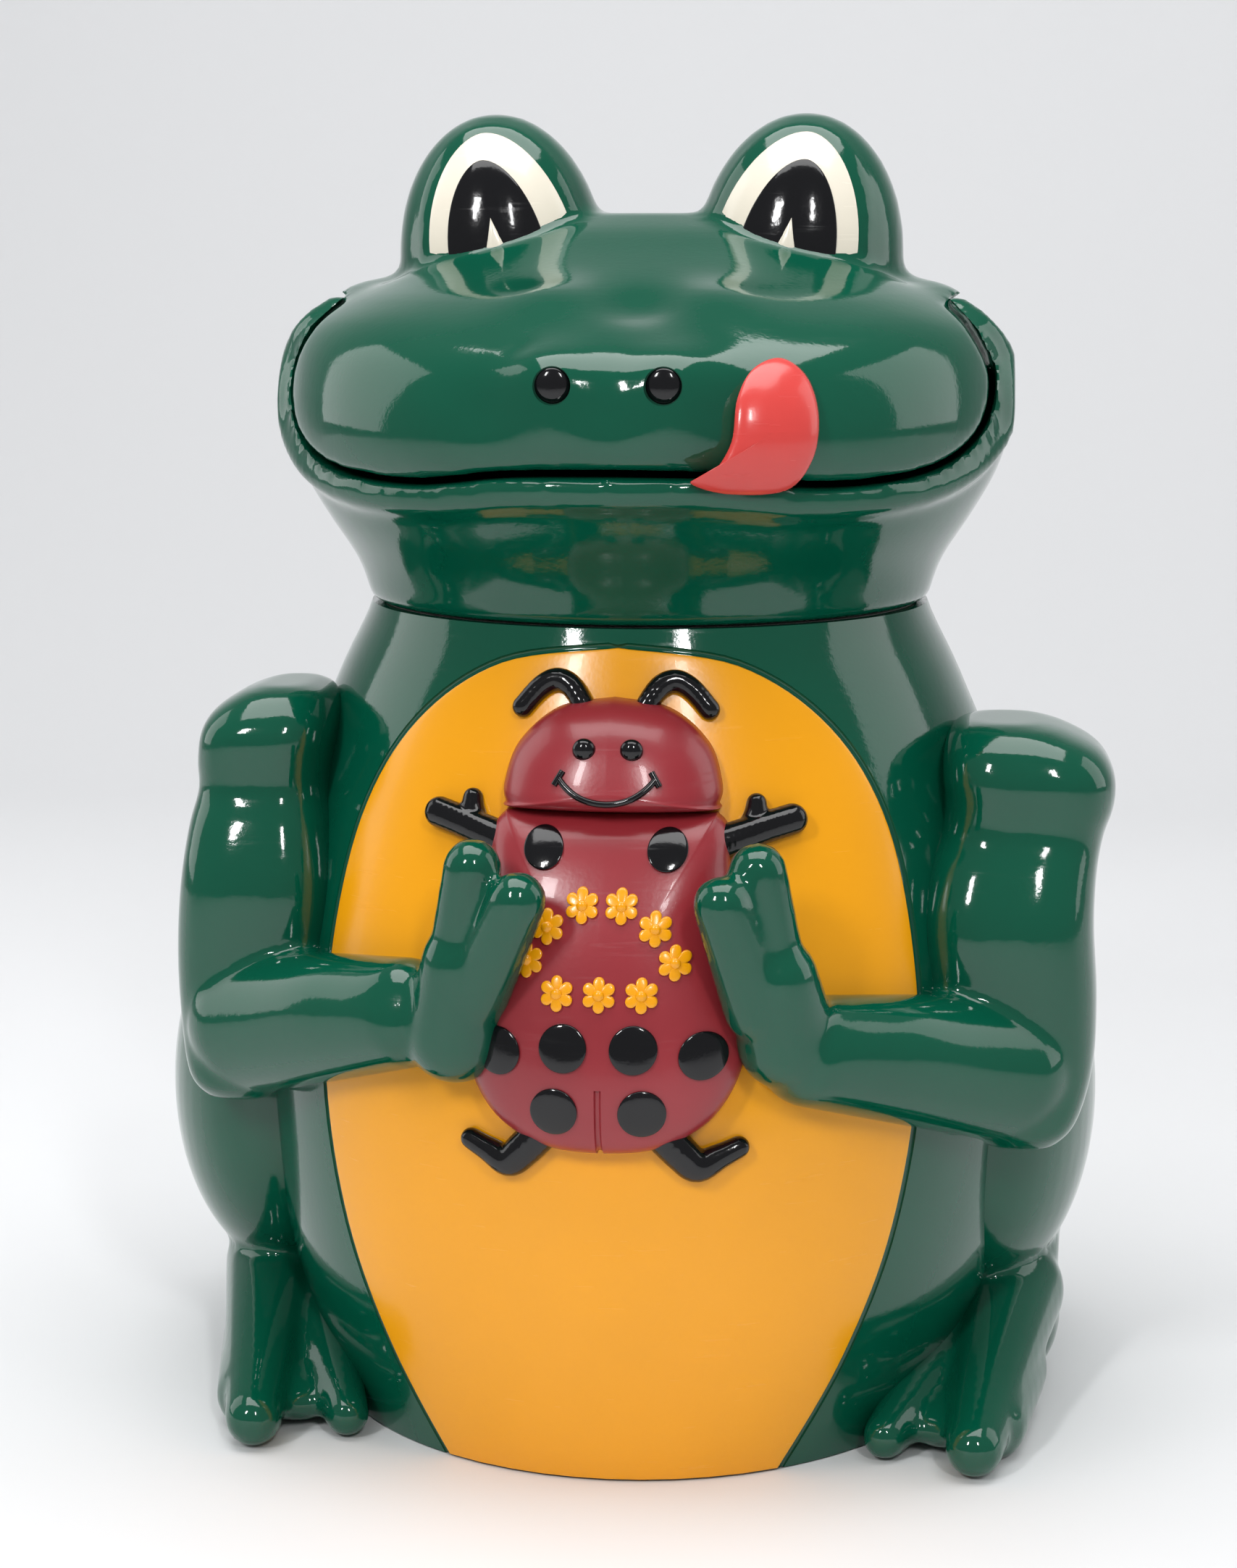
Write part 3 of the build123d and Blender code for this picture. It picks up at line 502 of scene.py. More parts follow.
green = plastic("greenPlastic", (0.0008, 0.074, 0.040), 0.08, scratch=0.12, sheenCoat=0.15)
yellow = plastic("yellowPlastic", (0.88, 0.36, 0.002), 0.24, shift=0.03, scratch=0.08, sheenCoat=0.1)
crimson = plastic("crimsonPlastic", (0.29, 0.024, 0.032), 0.28, shift=0.14, sheenCoat=0.15)
black = plastic("blackPlastic", (0.004, 0.004, 0.005), 0.10, shift=0.2, sheenCoat=0.0)
cream = plastic("creamPlastic", (0.80, 0.74, 0.62), 0.22, shift=0.05)
pink = plastic("tonguePlastic", (0.62, 0.055, 0.048), 0.22, shift=0.08, sheenCoat=0.15)

# the stage: a sheet of pale paper under soft panels
stageValues = {
    "half": 2.5,
    "front": -1.6,
    "bend": 0.75,          # where the floor starts to curve up
    "bendRadius": 0.55,
    "bendSteps": 24,
    "top": 2.6,
    "colour": (0.76, 0.765, 0.775),
    "roughness": 0.6,
    "sky": (0.80, 0.81, 0.83),
    "skyStrength": 0.3,
}


def makeStage(values):
    # one sheet of pale paper: floor, a wide bend, and a wall
    clearSelection()
    bpy.ops.mesh.primitive_plane_add(size=1, location=(0, 0, 0))
    sheet = bpy.context.object
    for v in sheet.data.vertices:
        v.co.x = math.copysign(values["half"], v.co.x)
        v.co.y = values["front"] if v.co.y < 0 else values["bend"]
    bpy.ops.object.mode_set(mode="EDIT")
    bpy.ops.mesh.select_all(action="DESELECT")
    bpy.ops.object.mode_set(mode="OBJECT")
    for e in sheet.data.edges:
        e.select = all(sheet.data.vertices[i].co.y > 0 for i in e.vertices)
    bpy.ops.object.mode_set(mode="EDIT")
    bpy.context.tool_settings.mesh_select_mode = (False, True, False)
    radius, steps = values["bendRadius"], values["bendSteps"]
    for step in range(steps):
        a, b = (math.pi / 2 * (step + k) / steps for k in (0, 1))
        move = (0, radius * (math.sin(b) - math.sin(a)), radius * (math.cos(a) - math.cos(b)))
        bpy.ops.mesh.extrude_region_move(TRANSFORM_OT_translate={"value": move})
    bpy.ops.mesh.extrude_region_move(TRANSFORM_OT_translate={"value": (0, 0, values["top"] - radius)})
    bpy.ops.object.mode_set(mode="OBJECT")
    bpy.context.tool_settings.mesh_select_mode = (True, False, False)
    sheet.name = "paperSheet"
    shadeSmooth(sheet)
    paper, shader = newFinish("paper")
    setInputs(shader, {"Base Color": (*values["colour"], 1), "Roughness": values["roughness"]})
    sheet.data.materials.append(paper)
    world = bpy.context.scene.world or bpy.data.worlds.new("world")
    bpy.context.scene.world = world
    world.use_nodes = True
    setInputs(world.node_tree.nodes["Background"],
              {"Color": (*values["sky"], 1), "Strength": values["skyStrength"]})


lights = {
    # place, width and height, watts; all aim at the middle of the frog
    "leftPanel": ((-0.55, -1.15, 0.95), (0.12, 0.34), 7),
    "rightPanel": ((0.42, -1.20, 0.95), (0.10, 0.32), 5),
    "topPanel": ((0.0, -0.1, 1.35), (1.3, 0.9), 15),
    "leftFill": ((-1.3, 0.25, 0.7), (0.8, 1.2), 4.5),
    "rightFill": ((1.3, 0.25, 0.7), (0.8, 1.2), 4.5),
}
lightTarget = Vector((0, 0, 0.16))


def softLight(name, spot, size, watts):
    clearSelection()
    bpy.ops.object.light_add(type="AREA", location=spot)
    light = bpy.context.object
    light.name = name
    light.data.shape = "RECTANGLE"
    light.data.size, light.data.size_y = size
    light.data.energy = watts
    light.rotation_mode = "QUATERNION"
    light.rotation_quaternion = (lightTarget - Vector(spot)).to_track_quat("-Z", "Y")


makeStage(stageValues)
bpy.context.scene.view_settings.view_transform = "Standard"
for name, values in lights.items():
    softLight(name, *values)
print("stage ready")

# jar body
jar = {
    "rings": [(-6, 76, 86, 74), (12, 81, 90, 79), (45, 90, 95, 87), (80, 94, 95, 90), (115, 91, 89, 88),
              (145, 84, 80, 80), (170, 74, 72, 72), (187, 66, 66, 66), (200, 64, 64, 64)],
    "top": 187.0,
    "foot": 0.3,
    "inside": 63.4,       # room for the tub's rim
    "insideFloor": 4.0,
    "baseSeat": [(-5, 73.4, 83.4, 71.4), (4.2, 74.2, 84.2, 72.2)],  # room for the base plate
    "seam": 0.15,         # half the gap between the front and back shells
    "crease": 35,         # degrees: edges sharper than this stay crisp
    "limbGap": 1.0,       # between the limbs and the room for the tub
}


def makeJarForm(values, name):
    return ringForm(name, fineRings(values["rings"], 6), 160)


def makeJarShells(values):
    form = makeJarForm(values, "jarForm")
    cut(form, block((-200, -200, values["top"]), (200, 200, 300)))
    cut(form, block((-200, -200, -50), (200, 200, values["foot"])))
    depth = values["top"] + 5 - values["insideFloor"]
    cut(form, rod((0, 0, values["insideFloor"] + depth / 2), values["inside"], depth, 160))
    cut(form, ringForm("baseSeat", values["baseSeat"], 96))
    halves = []
    for name, near, far in (("jarFront", -200, -values["seam"]), ("jarBack", values["seam"], 200)):
        half = copyOf(form, name)
        cut(half, block((-200, near, -60), (200, far, 320)), "INTERSECT")
        shadeSmooth(half, values["crease"])
        halves.append(half)
    bpy.data.objects.remove(form)
    return halves


jarFront, jarBack = makeJarShells(jar)
jarFormPlain = makeJarForm(jar, "jarFormPlain")
jarTree = treeOf(jarFormPlain)

# belly plate: half its outline, from the middle of the top
belly = {
    "half": [(0, 183), (26, 179), (46, 165), (59, 143), (65.5, 112), (66, 84), (60.5, 52), (50, 24),
             (37, 0.6)],
    "foot": 0.5,          # the plate stops at this height
    "footSteps": 10,
    "centre": (0, 95),
    "height": 1.4,
    "edge": 1.1,
    "thick": 1.6,
    "grooveOut": 0.7,
    "grooveRadius": 0.75,
}


def makeBelly(values):
    half = [p for p in curveThrough(values["half"], steps=8) if p[1] > values["foot"]]
    outline, (x, z), steps = bothSides(half), half[-1], values["footSteps"]
    foot = [(x * (1 - 2 * i / steps), z) for i in range(1, steps)]
    outline = outline[:len(half)] + foot + outline[len(half):]
    piece = plaque("bellyPlate", outline, values["centre"], values["height"], edge=values["edge"],
                   sink=values["thick"], rings=40)
    settle(piece, jarTree)
    return piece


def makeBellyGroove(values):
    # the shadow line where the plate meets the green shell
    half = curveThrough(values["half"], steps=8)
    half = [half[0]] + offsetLine(half, -values["grooveOut"])[1:]
    line = [(-x, z) for x, z in reversed(half[1:])] + half
    route = [(x, surfaceAt(jarTree, x, z), z) for x, z in line]
    cut(jarFront, tube("groove", route, values["grooveRadius"]))
    shadeSmooth(jarFront, jar["crease"])


bellyPlate = makeBelly(belly)
makeBellyGroove(belly)
hand(jarFront, "jar", green, "green_plastic", "jar_shell_front")
hand(jarBack, "jar", green, "green_plastic", "jar_shell_back")
bellyTree = treeOf(jarFormPlain, bellyPlate)
hand(bellyPlate, "jar", yellow, "yellow_plastic", "belly_plate")
print("jar formed")

# head: one form, parted along the mouth into the upper head and the jaw
head = {
    "rings": [(187.4, 66, 66, 66), (197, 69, 71, 67), (208, 76, 80, 70), (219, 82, 87, 73), (231, 85, 89, 75),
              (243, 84, 84, 75), (251, 81, 74, 72), (257, 73, 62, 66), (262, 62, 49, 58), (268, 51, 34, 46),
              (273, 40, 22, 34), (277, 22, 10, 19)],
    "foot": 187.4,
    "mouth": [(0, 222), (22, 221.5), (45, 219), (66, 221), (77, 228), (80, 240), (75, 251), (69, 257)],
    "mouthEnd": [(78, 260.5), (120, 262)],  # the parting line goes on out past the cheek
    "gap": 1.5,
    "cheekBack": 15.0,    # the mouth runs this far round the cheek
    "seam": 241.0,        # level joint round the back
    "halfSeam": 0.15,
    "lipRadius": 3.6,
    "lipDrop": 4.2,
    "lipProud": 1.3,
    "lipTip": 0.5,        # the bead runs out against the groove at the cheek
    "lipTaper": 12,
    "lipThin": 0.6,       # its size there, against 1 along the front
    "cheekReach": 82.4,   # the bead stays on the cheek, not beside it
    "tuckOver": 9.0,      # the upper lip turns under over this height
    "tuckBy": 2.6,
    "tuckFade": 20,
    "plateSeat": (63.4, 201.5),  # radius and roof
    "plateRoom": (57.0, 218.5),
    "voxel": 1.25,
    "crease": 40,
}

eye = {
    "centre": (34.8, 0, 266),
    "radii": (24.3, 23, 34),
    "lean": 5.0,
    "white": (32.4, 268.0, 16.6, 27.6),    # across, height, half width, half height
    "whiteProud": 0.45,
    "pupil": (32.9, 267.0, 11.2, 22.2),
    "pupilProud": 0.95,
    "inlayLean": 12.0,
    "pointed": 1.8,       # under 2 brings the arch nearer to a point
    "rim": 1.15,
    "rimOut": 1.3,
    "rimSunk": 0.5,
    "rimFrom": 252,
}

# muzzle, lip, cheeks and brow, a dent over one nostril, then the swells and hollows beside the eyes
headDabs = [
    ((13, -83, 243), 10, (0, -3.6, 1.6)), ((-13, -83, 243), 10, (0, -3.6, 1.6)),
    ((0, -88, 232), 7, (0, 1.4, 0)), ((26, -84, 233), 10, (0, 1.8, 0)), ((-26, -84, 233), 10, (0, 2.0, 0)),
    ((52, -66, 236), 12, (0.4, 0.8, 0)), ((-52, -66, 236), 12, (-0.4, 0.8, 0)),
    ((4, -62, 256), 9, (0, 1.6, -1.8)),
    ((-17, -58, 259), 11, (0, -1.0, 1.4)), ((21, -58, 259), 11, (0, -1.0, 1.4)),
    ((-20, -79, 249), 3.2, (0, 0.7, -0.5)),
    ((68, -6, 256), 9, (0.5, 0, 2.0)), ((-68, -6, 256), 9, (-0.5, 0, 2.0)),
    ((57, -10, 262), 7, (0, 0, -1.6)), ((-57, -10, 262), 7, (0, 0, -1.6)),
]


def mouthRegions(values):
    # the front-view outlines above the mouth and above the groove's lower edge
    line, top = curveThrough(values["mouth"], steps=6), 340
    regions = []
    for by in (-values["gap"] / 2, values["gap"] / 2):
        edge = offsetLine(line, by)
        edge[0] = (0, edge[0][1])
        end = [(x, z - by) for x, z in values["mouthEnd"]]
        regions.append(bothSides(edge + end + [(end[-1][0], top)]))
    return regions


def tuckLip(piece, values):
    over, line = values["tuckOver"], curveThrough(values["mouth"][:4], steps=6)
    for v in piece.data.vertices:
        x, z = abs(v.co.x) / mm, v.co.z / mm
        if v.co.y > 0 or x > line[-1][0]:
            continue
        rise = z - min(line, key=lambda p: abs(p[0] - x))[1]
        if -2 < rise < over:
            fade = min(1.0, (line[-1][0] - x) / values["tuckFade"])
            v.co.y += values["tuckBy"] * mm * fade * (1 - max(rise, 0) / over) ** 2
    piece.data.update()


def makeEyeRims(values, tree):
    # a thin raised line round each inlay
    across, height, wide, tall = values["white"]
    out, rims = values["rimOut"], []
    for side in (1, -1):
        line = oval((side * across, height), wide + out, tall + out, side * values["inlayLean"])
        route = [(x, surfaceAt(tree, x, z) + values["rimSunk"], z) for x, z in line if z > values["rimFrom"]]
        rims.append(tube("rim", route, values["rim"]))
    return rims


def makeUpperHead(values, parts, region):
    # everything above the mouth in front, and above the level seam behind
    upper = fuse("headUpper", parts, values["voxel"], 3)
    brush(upper, headDabs)
    tuckLip(upper, values)
    back, seam = values["cheekBack"], values["seam"] + values["halfSeam"]
    outside = block((-130, -130, 150), (130, back, 345))
    cut(outside, prism("aboveLips", region, -200, 200))
    cut(upper, outside)
    cut(upper, block((-200, back - 0.5, 100), (200, 200, seam)))
    return fuse("headUpper", [upper], values["voxel"], 7)


def makeLipBeads(values, tree):
    # the rolled lower lip, which thins and closes on the groove at the cheek
    line = curveThrough(values["mouth"], steps=6)
    tips, drops = offsetLine(line, values["lipTip"]), offsetLine(line, values["lipDrop"])
    path, sizes = [], []
    for i, (tip, drop) in enumerate(zip(tips, drops)):
        share = min(1.0, (len(line) - 1 - i) / values["lipTaper"])
        x, z = (a + (b - a) * share for a, b in zip(tip, drop))
        x = min(x, values["cheekReach"])
        size = values["lipThin"] + (1 - values["lipThin"]) * share
        path.append((x, surfaceAt(tree, x, z) + (values["lipRadius"] - values["lipProud"]) * size, z))
        sizes.append(size)
    return [tube("lip", [(side * x, y, z) for x, y, z in path], values["lipRadius"], sizes)
            for side in (1, -1)]


def makeJaw(values, parts, region):
    # the rolled lip first, then the groove, then the room for the lid plate
    back, seam = values["cheekBack"], values["seam"] - values["halfSeam"]
    jaw = fuse("jaw", parts, values["voxel"], 8)
    cut(jaw, prism("aboveGroove", region, -200, back))
    cut(jaw, block((-200, back - 0.5, seam), (200, 200, 340)))
    jaw = fuse("jaw", [jaw], values["voxel"], 10)
    cut(jaw, block((-200, -200, 100), (200, 200, values["foot"])))
    for (radius, roof), floor in ((values["plateSeat"], 180), (values["plateRoom"], 190)):
        cut(jaw, rod((0, 0, (roof + floor) / 2), radius, roof - floor, 128))
    shadeSmooth(jaw, values["crease"])
    return jaw


def makeHead(values):
    form = ringForm("headForm", fineRings(values["rings"], 5), 144)
    formTree = treeOf(form)
    right = ball(eye["centre"], eye["radii"], (0, eye["lean"], 0))
    left = mirrored(right, "leftBulge")
    eyeTree = treeOf(right, left)
    rims = makeEyeRims(eye, eyeTree)
    jawForm = copyOf(form, "jaw")
    region, grown = mouthRegions(values)
    upper = makeUpperHead(values, [form, right, left] + rims, region)
    lower = makeJaw(values, [jawForm] + makeLipBeads(values, formTree), grown)
    return upper, lower, formTree, eyeTree


headUpper, jaw, headFormTree, eyeTree = makeHead(head)
print("head formed")

nostril = {
    "across": 11.7,
    "height": 240.5,
    "radius": 3.8,
    "gap": 0.25,
    "deep": 2.0,
    "dome": 1.2,
    "drill": 12,
}


def makeNostrils(values):
    tree, radius, drill = treeOf(headUpper), values["radius"], values["drill"]
    made = []
    for side, name in ((-1, "leftNostril"), (1, "rightNostril")):
        x, z = side * values["across"], values["height"]
        y = surfaceAt(tree, x, z) + values["deep"]
        hole = rod((x, 0, z), radius + values["gap"], drill, 48)
        hole.location = (0, 0, 0)
        pick(hole)
        bpy.ops.object.mode_set(mode="EDIT")
        bpy.ops.mesh.select_all(action="SELECT")
        bpy.ops.transform.rotate(value=math.pi / 2, orient_axis="X", center_override=(x * mm, 0, z * mm))
        bpy.ops.transform.translate(value=(0, (y - drill / 2) * mm, 0))
        bpy.ops.object.mode_set(mode="OBJECT")
        cut(headUpper, hole)
        plug = ball((x, y, z), (radius, values["dome"], radius), segments=40, rings=24)
        plug.name = name
        shadeSmooth(plug)
        made.append(plug)
    shadeSmooth(headUpper, head["crease"])
    return made


leftNostril, rightNostril = makeNostrils(nostril)
hand(headUpper, "lid", green, "green_plastic", "head_upper_shell")
hand(jaw, "lid", green, "green_plastic", "jaw_shell")
hand(leftNostril, "lid", black, "black_plastic", "left_nostril_plug")
hand(rightNostril, "lid", black, "black_plastic", "right_nostril_plug")

# eyes: a cream arch, a black one on it, and a cream glint
glint = {
    "tip": (34.4, 276.0),
    "outer": (36.0, 262.0),
    "inner": (27.8, 263.5),
    "sag": 4.0,
    "centre": (32.8, 266),
    "proud": 1.3,
    "sink": 0.6,
}


def glintOutline(values, side):
    # two straight sides up to a point, closed by a sagging curve below
    tip, outer, inner = values["tip"], values["outer"], values["inner"]
    points, steps = [], 8
    for start, end, sag in ((tip, outer, 0), (outer, inner, values["sag"]), (inner, tip, 0)):
        for i in range(steps):
            t = i / steps
            x, z = (a + (b - a) * t for a, b in zip(start, end))
            points.append((side * x, z - sag * 4 * t * (1 - t)))
    return points


def makeInlay(name, side, place, proud):
    across, height, wide, tall = place
    centre = (side * across, height)
    outline = oval(centre, wide, tall, side * eye["inlayLean"], 72, eye["pointed"])
    piece = plaque(name, outline, centre, proud, edge=proud, sink=1.2, rings=12)
    settle(piece, eyeTree)
    return piece


def makeGlint(name, side, values):
    centre, proud = (side * values["centre"][0], values["centre"][1]), values["proud"]
    piece = plaque(name, glintOutline(values, side), centre, proud, edge=proud, sink=values["sink"], rings=6)
    settle(piece, eyeTree)
    return piece


def makeEyes():
    for side, word in ((-1, "left"), (1, "right")):
        white = makeInlay(word + "EyeWhite", side, eye["white"], eye["whiteProud"])
        hand(white, "lid", cream, "white_plastic", word + "_eye_white")
        pupil = makeInlay(word + "Pupil", side, eye["pupil"], eye["pupilProud"])
        hand(pupil, "lid", black, "black_plastic", word + "_pupil")
        spark = makeGlint(word + "Glint", side, glint)
        hand(spark, "lid", cream, "white_plastic", word + "_glint")


makeEyes()

# tongue, curled up over the lip
tongue = {
    "outline": [(17.5, 220.5), (22, 222.5), (26, 229), (27, 238), (30, 244), (35.5, 246), (41, 242),
                (43.6, 234), (42.5, 225), (37, 218.5), (25, 218)],
    "centre": (35, 231),
    "height": 4.6,
    "edge": 3.6,
    "sink": 3.0,
}


def makeTongue(values):
    outline = curveThrough(values["outline"], 7, True)
    piece = plaque("tongue", outline, values["centre"], values["height"], edge=values["edge"],
                   sink=values["sink"], rings=16)
    settle(piece, headFormTree)
    return piece


hand(makeTongue(tongue), "lid", pink, "tongue_pink", "tongue")

# arms: a blocky upper arm in two bulges, a forearm, and a hand with two fingers
arm = {
    # height, inner edge, outer edge, front, back; the left and right arms bulge differently
    "rightRings": [(74, 82, 97, -58, -40), (80, 76, 102, -64, -34), (92, 71, 105.5, -62, -30),
                   (108, 67, 106, -64, -26), (124, 65.5, 105, -65, -22), (136, 67, 105.5, -61.5, -18),
                   (144, 70, 107, -57.5, -16), (150, 71, 109, -57.5, -16), (157, 70.5, 109, -58, -16),
                   (163, 71, 105.5, -55.5, -16), (167, 73, 98, -51, -18), (168.6, 77, 92, -46, -22)],
    "leftRings": [(74, 82, 97, -58, -40), (80, 76, 101, -64, -34), (92, 71, 103.5, -62, -30),
                  (108, 67.5, 104, -64, -26), (124, 66.5, 103, -65, -22), (137, 68, 101.5, -61.5, -18),
                  (145, 69.6, 99.8, -57.5, -16), (151, 69.3, 100, -57.5, -16), (158, 68.5, 99, -58, -16),
                  (163, 69, 96, -55.5, -16), (167, 71, 90, -51, -18), (168.6, 75, 85, -46, -22)],
    "square": 3.0,
    "forearm": ((84.5, -54, 92), (44, -88, 103.5), 16.6, 12.2),
    "wrist": ((46, -86, 103), (40, -91, 104.5), 11.5, 9.0),
    "rightHand": {
        "palm": ((39, -92, 107), (36.5, -96, 121), 11.0, 9.4),
        "outerFinger": ((37, -95, 117), (33, -99, 144.5), 7.4, 6.3),
        "innerFinger": ((33, -98, 115), (26, -105, 138.5), 7.2, 6.2),
    },
    "leftHand": {
        "palm": ((32, -94, 101), (29.5, -97, 117), 11.0, 9.4),
        "outerFinger": ((31, -96, 113), (27.0, -101, 138.5), 7.4, 6.3),
        "innerFinger": ((26.5, -99, 111), (16.5, -107.5, 133), 7.2, 6.2),
    },
    "rightLift": -4.2,
    "leftLift": 1.8,
    "voxel": 1.1,
    "crease": 50,
}

armDabs = [
    ((47, -100, 110), 7, (0, 1.2, 0)),          # crease at the wrist
    ((70, -82, 109), 12, (0, -0.8, 0.6)),       # swell of the forearm
]


def shift(piece, by):
    for v in piece.data.vertices:
        v.co += Vector(by) * mm
    piece.data.update()


def clearOfJar(piece):
    # nothing of a limb reaches into the room for the tub
    middle, height = 100, 220
    cut(piece, rod((0, 0, middle), jar["inside"] + jar["limbGap"], height, 128))


def makeArm(values, name, side):
    parts = [postForm("upperArm", fineRings(values[side + "Rings"], 4), values["square"], 72)]
    for part in (values["forearm"], values["wrist"], *values[side + "Hand"].values()):
        parts.append(sausage(*part))
    made = fuse(name, parts, values["voxel"], 9)
    brush(made, armDabs)
    shift(made, (0, 0, values[side + "Lift"]))
    clearOfJar(made)
    shadeSmooth(made, values["crease"])
    return made


def turnedOver(piece, name):
    # a limb made on the right, moved to the left
    made = mirrored(piece, name)
    bpy.data.objects.remove(piece)
    return made


rightArm = makeArm(arm, "rightArm", "right")
leftArm = turnedOver(makeArm(arm, "leftArmTurned", "left"), "leftArm")
hand(rightArm, "jar", green, "green_plastic", "right_arm")
hand(leftArm, "jar", green, "green_plastic", "left_arm")

# hind legs: a big round thigh over a shin, and a foot with two toes
leg = {
    "thigh": ((83, 4, 68), (30, 49, 50)),
    "thighShift": -4.5,          # both thighs sit a little to the left
    "shin": ((89, 4, 36), (90, -12, 20), 13, 11),
    "heel": ((89, -4, 14), (13, 18, 17)),
    "ridge": ((90, -12, 22), (81.5, -76, 6.6), 12.8, 6.6),
    "outerToe": ((87, -34, 10), (85, -62, 7.0), 11.5, 8.4),
    "innerToe": ((80, -24, 15), (61.5, -68, 5.2), 10.8, 5.2),
    "web": ((75, -42, 6), (13, 27, 8)),
    "inner": ((75, -10, 11), (15, 22, 16)),
    "footShift": -1.0,           # and so do both feet
    "sole": 0.3,
    "voxel": 1.2,
    "crease": 50,
}


def makeLeg(values, name, side):
    # made on the right; for a side of -1 it is turned over afterwards
    thigh = ball(*values["thigh"])
    feet = [ball(*values[part]) for part in ("heel", "web", "inner")]
    feet += [sausage(*values[part]) for part in ("shin", "ridge", "outerToe", "innerToe")]
    shift(thigh, (side * values["thighShift"], 0, 0))
    for part in feet:
        shift(part, (side * values["footShift"], 0, 0))
    made = fuse(name, [thigh] + feet, values["voxel"], 12)
    cut(made, block((-200, -200, -60), (200, 200, values["sole"])))
    clearOfJar(made)
    shadeSmooth(made, values["crease"])
    return made


rightLeg = makeLeg(leg, "rightLeg", 1)
leftLeg = turnedOver(makeLeg(leg, "leftLegTurned", -1), "leftLeg")
hand(rightLeg, "jar", green, "green_plastic", "right_hind_leg")
hand(leftLeg, "jar", green, "green_plastic", "left_hind_leg")
print("limbs formed")

# ladybug: half outlines, from the middle of the top round the right side
bug = {
    "body": [(0, 149.4), (20, 149.4), (23.5, 148.4), (25.6, 145), (26, 138), (27, 124), (30, 108),
             (29.4, 96), (23, 85.5), (12, 79.8), (0, 78.6)],
    "bodyCentre": (0, 112),
    "bodyDome": {"height": 12.2, "edge": 5.0, "sink": 1.0, "rings": 30, "swell": 3.2},
    "head": [(0, 173), (12, 170.8), (20.6, 163.5), (23.6, 155), (23.2, 151.2), (21.5, 149.9), (0, 149.7)],
    "headCentre": (0, 155),
    "headDome": {"height": 12.5, "edge": 3.6, "sink": 1.0, "rings": 24, "swell": 2.6},
    "wingGroove": (76, 95),   # between these heights
    "grooveRadius": 0.75,
    "crease": 45,
}


def makeBug(values):
    body = plaque("bugBody", bothSides(curveThrough(values["body"], 8)), values["bodyCentre"],
                  **values["bodyDome"])
    settle(body, bellyTree)
    slope = treeOf(body)
    groove = [(0, surfaceAt(slope, 0.3, z), z) for z in range(*values["wingGroove"])]
    cut(body, tube("groove", groove, values["grooveRadius"]))
    face = plaque("bugHead", bothSides(curveThrough(values["head"], 7)), values["headCentre"],
                  **values["headDome"])
    settle(face, bellyTree)
    for piece in (body, face):
        shadeSmooth(piece, values["crease"])
    return body, face


bugBody, bugHead = makeBug(bug)
bugBodyTree, bugHeadTree = treeOf(bugBody), treeOf(bugHead)
hand(bugBody, "jar", crimson, "crimson_plastic", "ladybug_body")
hand(bugHead, "jar", crimson, "crimson_plastic", "ladybug_head")

spots = {
    "places": [(13.3, 143, 4.3), (22, 101, 5.1), (7.5, 102.7, 5.1), (9.4, 89, 5.1)],  # the last is the radius
    "proud": 1.0,
}


def makeSpots(values):
    discs = []
    for x, z, radius in values["places"]:
        for side in (-1, 1):
            centre = (side * x, z)
            disc = plaque("spot", oval(centre, radius, radius, 0, 40), centre, values["proud"],
                          edge=values["proud"], sink=1.0, rings=8)
            settle(disc, bugBodyTree)
            discs.append(disc)
    return join(discs, "bugSpots")


hand(makeSpots(spots), "jar", black, "black_plastic", "ladybug_spots")

daisy = {
    "arc": [(15.8, 120.5), (11.5, 127.5), (4.2, 132)],
    "row": [(-9, 114), (0, 114), (9, 114)],
    "radius": 3.7,
    "notch": 0.60,        # how far out the gaps between the petals reach
    "petals": 6,
    "plump": 0.6,
    "proud": 1.1,
    "heart": (1.25, 0.8, 1.25),
}


def daisyOutline(values, centre, count=72):
    points = []
    for i in range(count):
        a = 2 * math.pi * i / count
        petal = abs(math.cos(values["petals"] * a / 2)) ** values["plump"]
        reach = values["radius"] * (values["notch"] + (1 - values["notch"]) * petal)
        points.append((centre[0] + reach * math.sin(a), centre[1] + reach * math.cos(a)))
    return points


def makeDaisies(values):
    places = [(side * x, z) for x, z in values["arc"] for side in (-1, 1)] + values["row"]
    proud, flowers = values["proud"], []
    for x, z in places:
        flower = plaque("daisy", daisyOutline(values, (x, z)), (x, z), proud, edge=proud, sink=0.8, rings=7)
        settle(flower, bugBodyTree)
        heart = ball((x, surfaceAt(bugBodyTree, x, z) - proud, z), values["heart"], segments=20, rings=12)
        flowers += [flower, heart]
    made = join(flowers, "bugDaisies")
    shadeSmooth(made)
    return made


hand(makeDaisies(daisy), "jar", yellow, "yellow_plastic", "ladybug_daisies")

smile = {
    "radius": 13.0,
    "centre": 165.5,
    "reach": 53.0,        # degrees to each side
    "steps": 14,
    "wide": 0.72,
    "sunk": 0.2,
    "tick": 1.5,
    "tickLean": 0.6,
    "eye": (5.1, 163.5),
    "eyeRadii": (2.5, 1.9, 2.5),
}


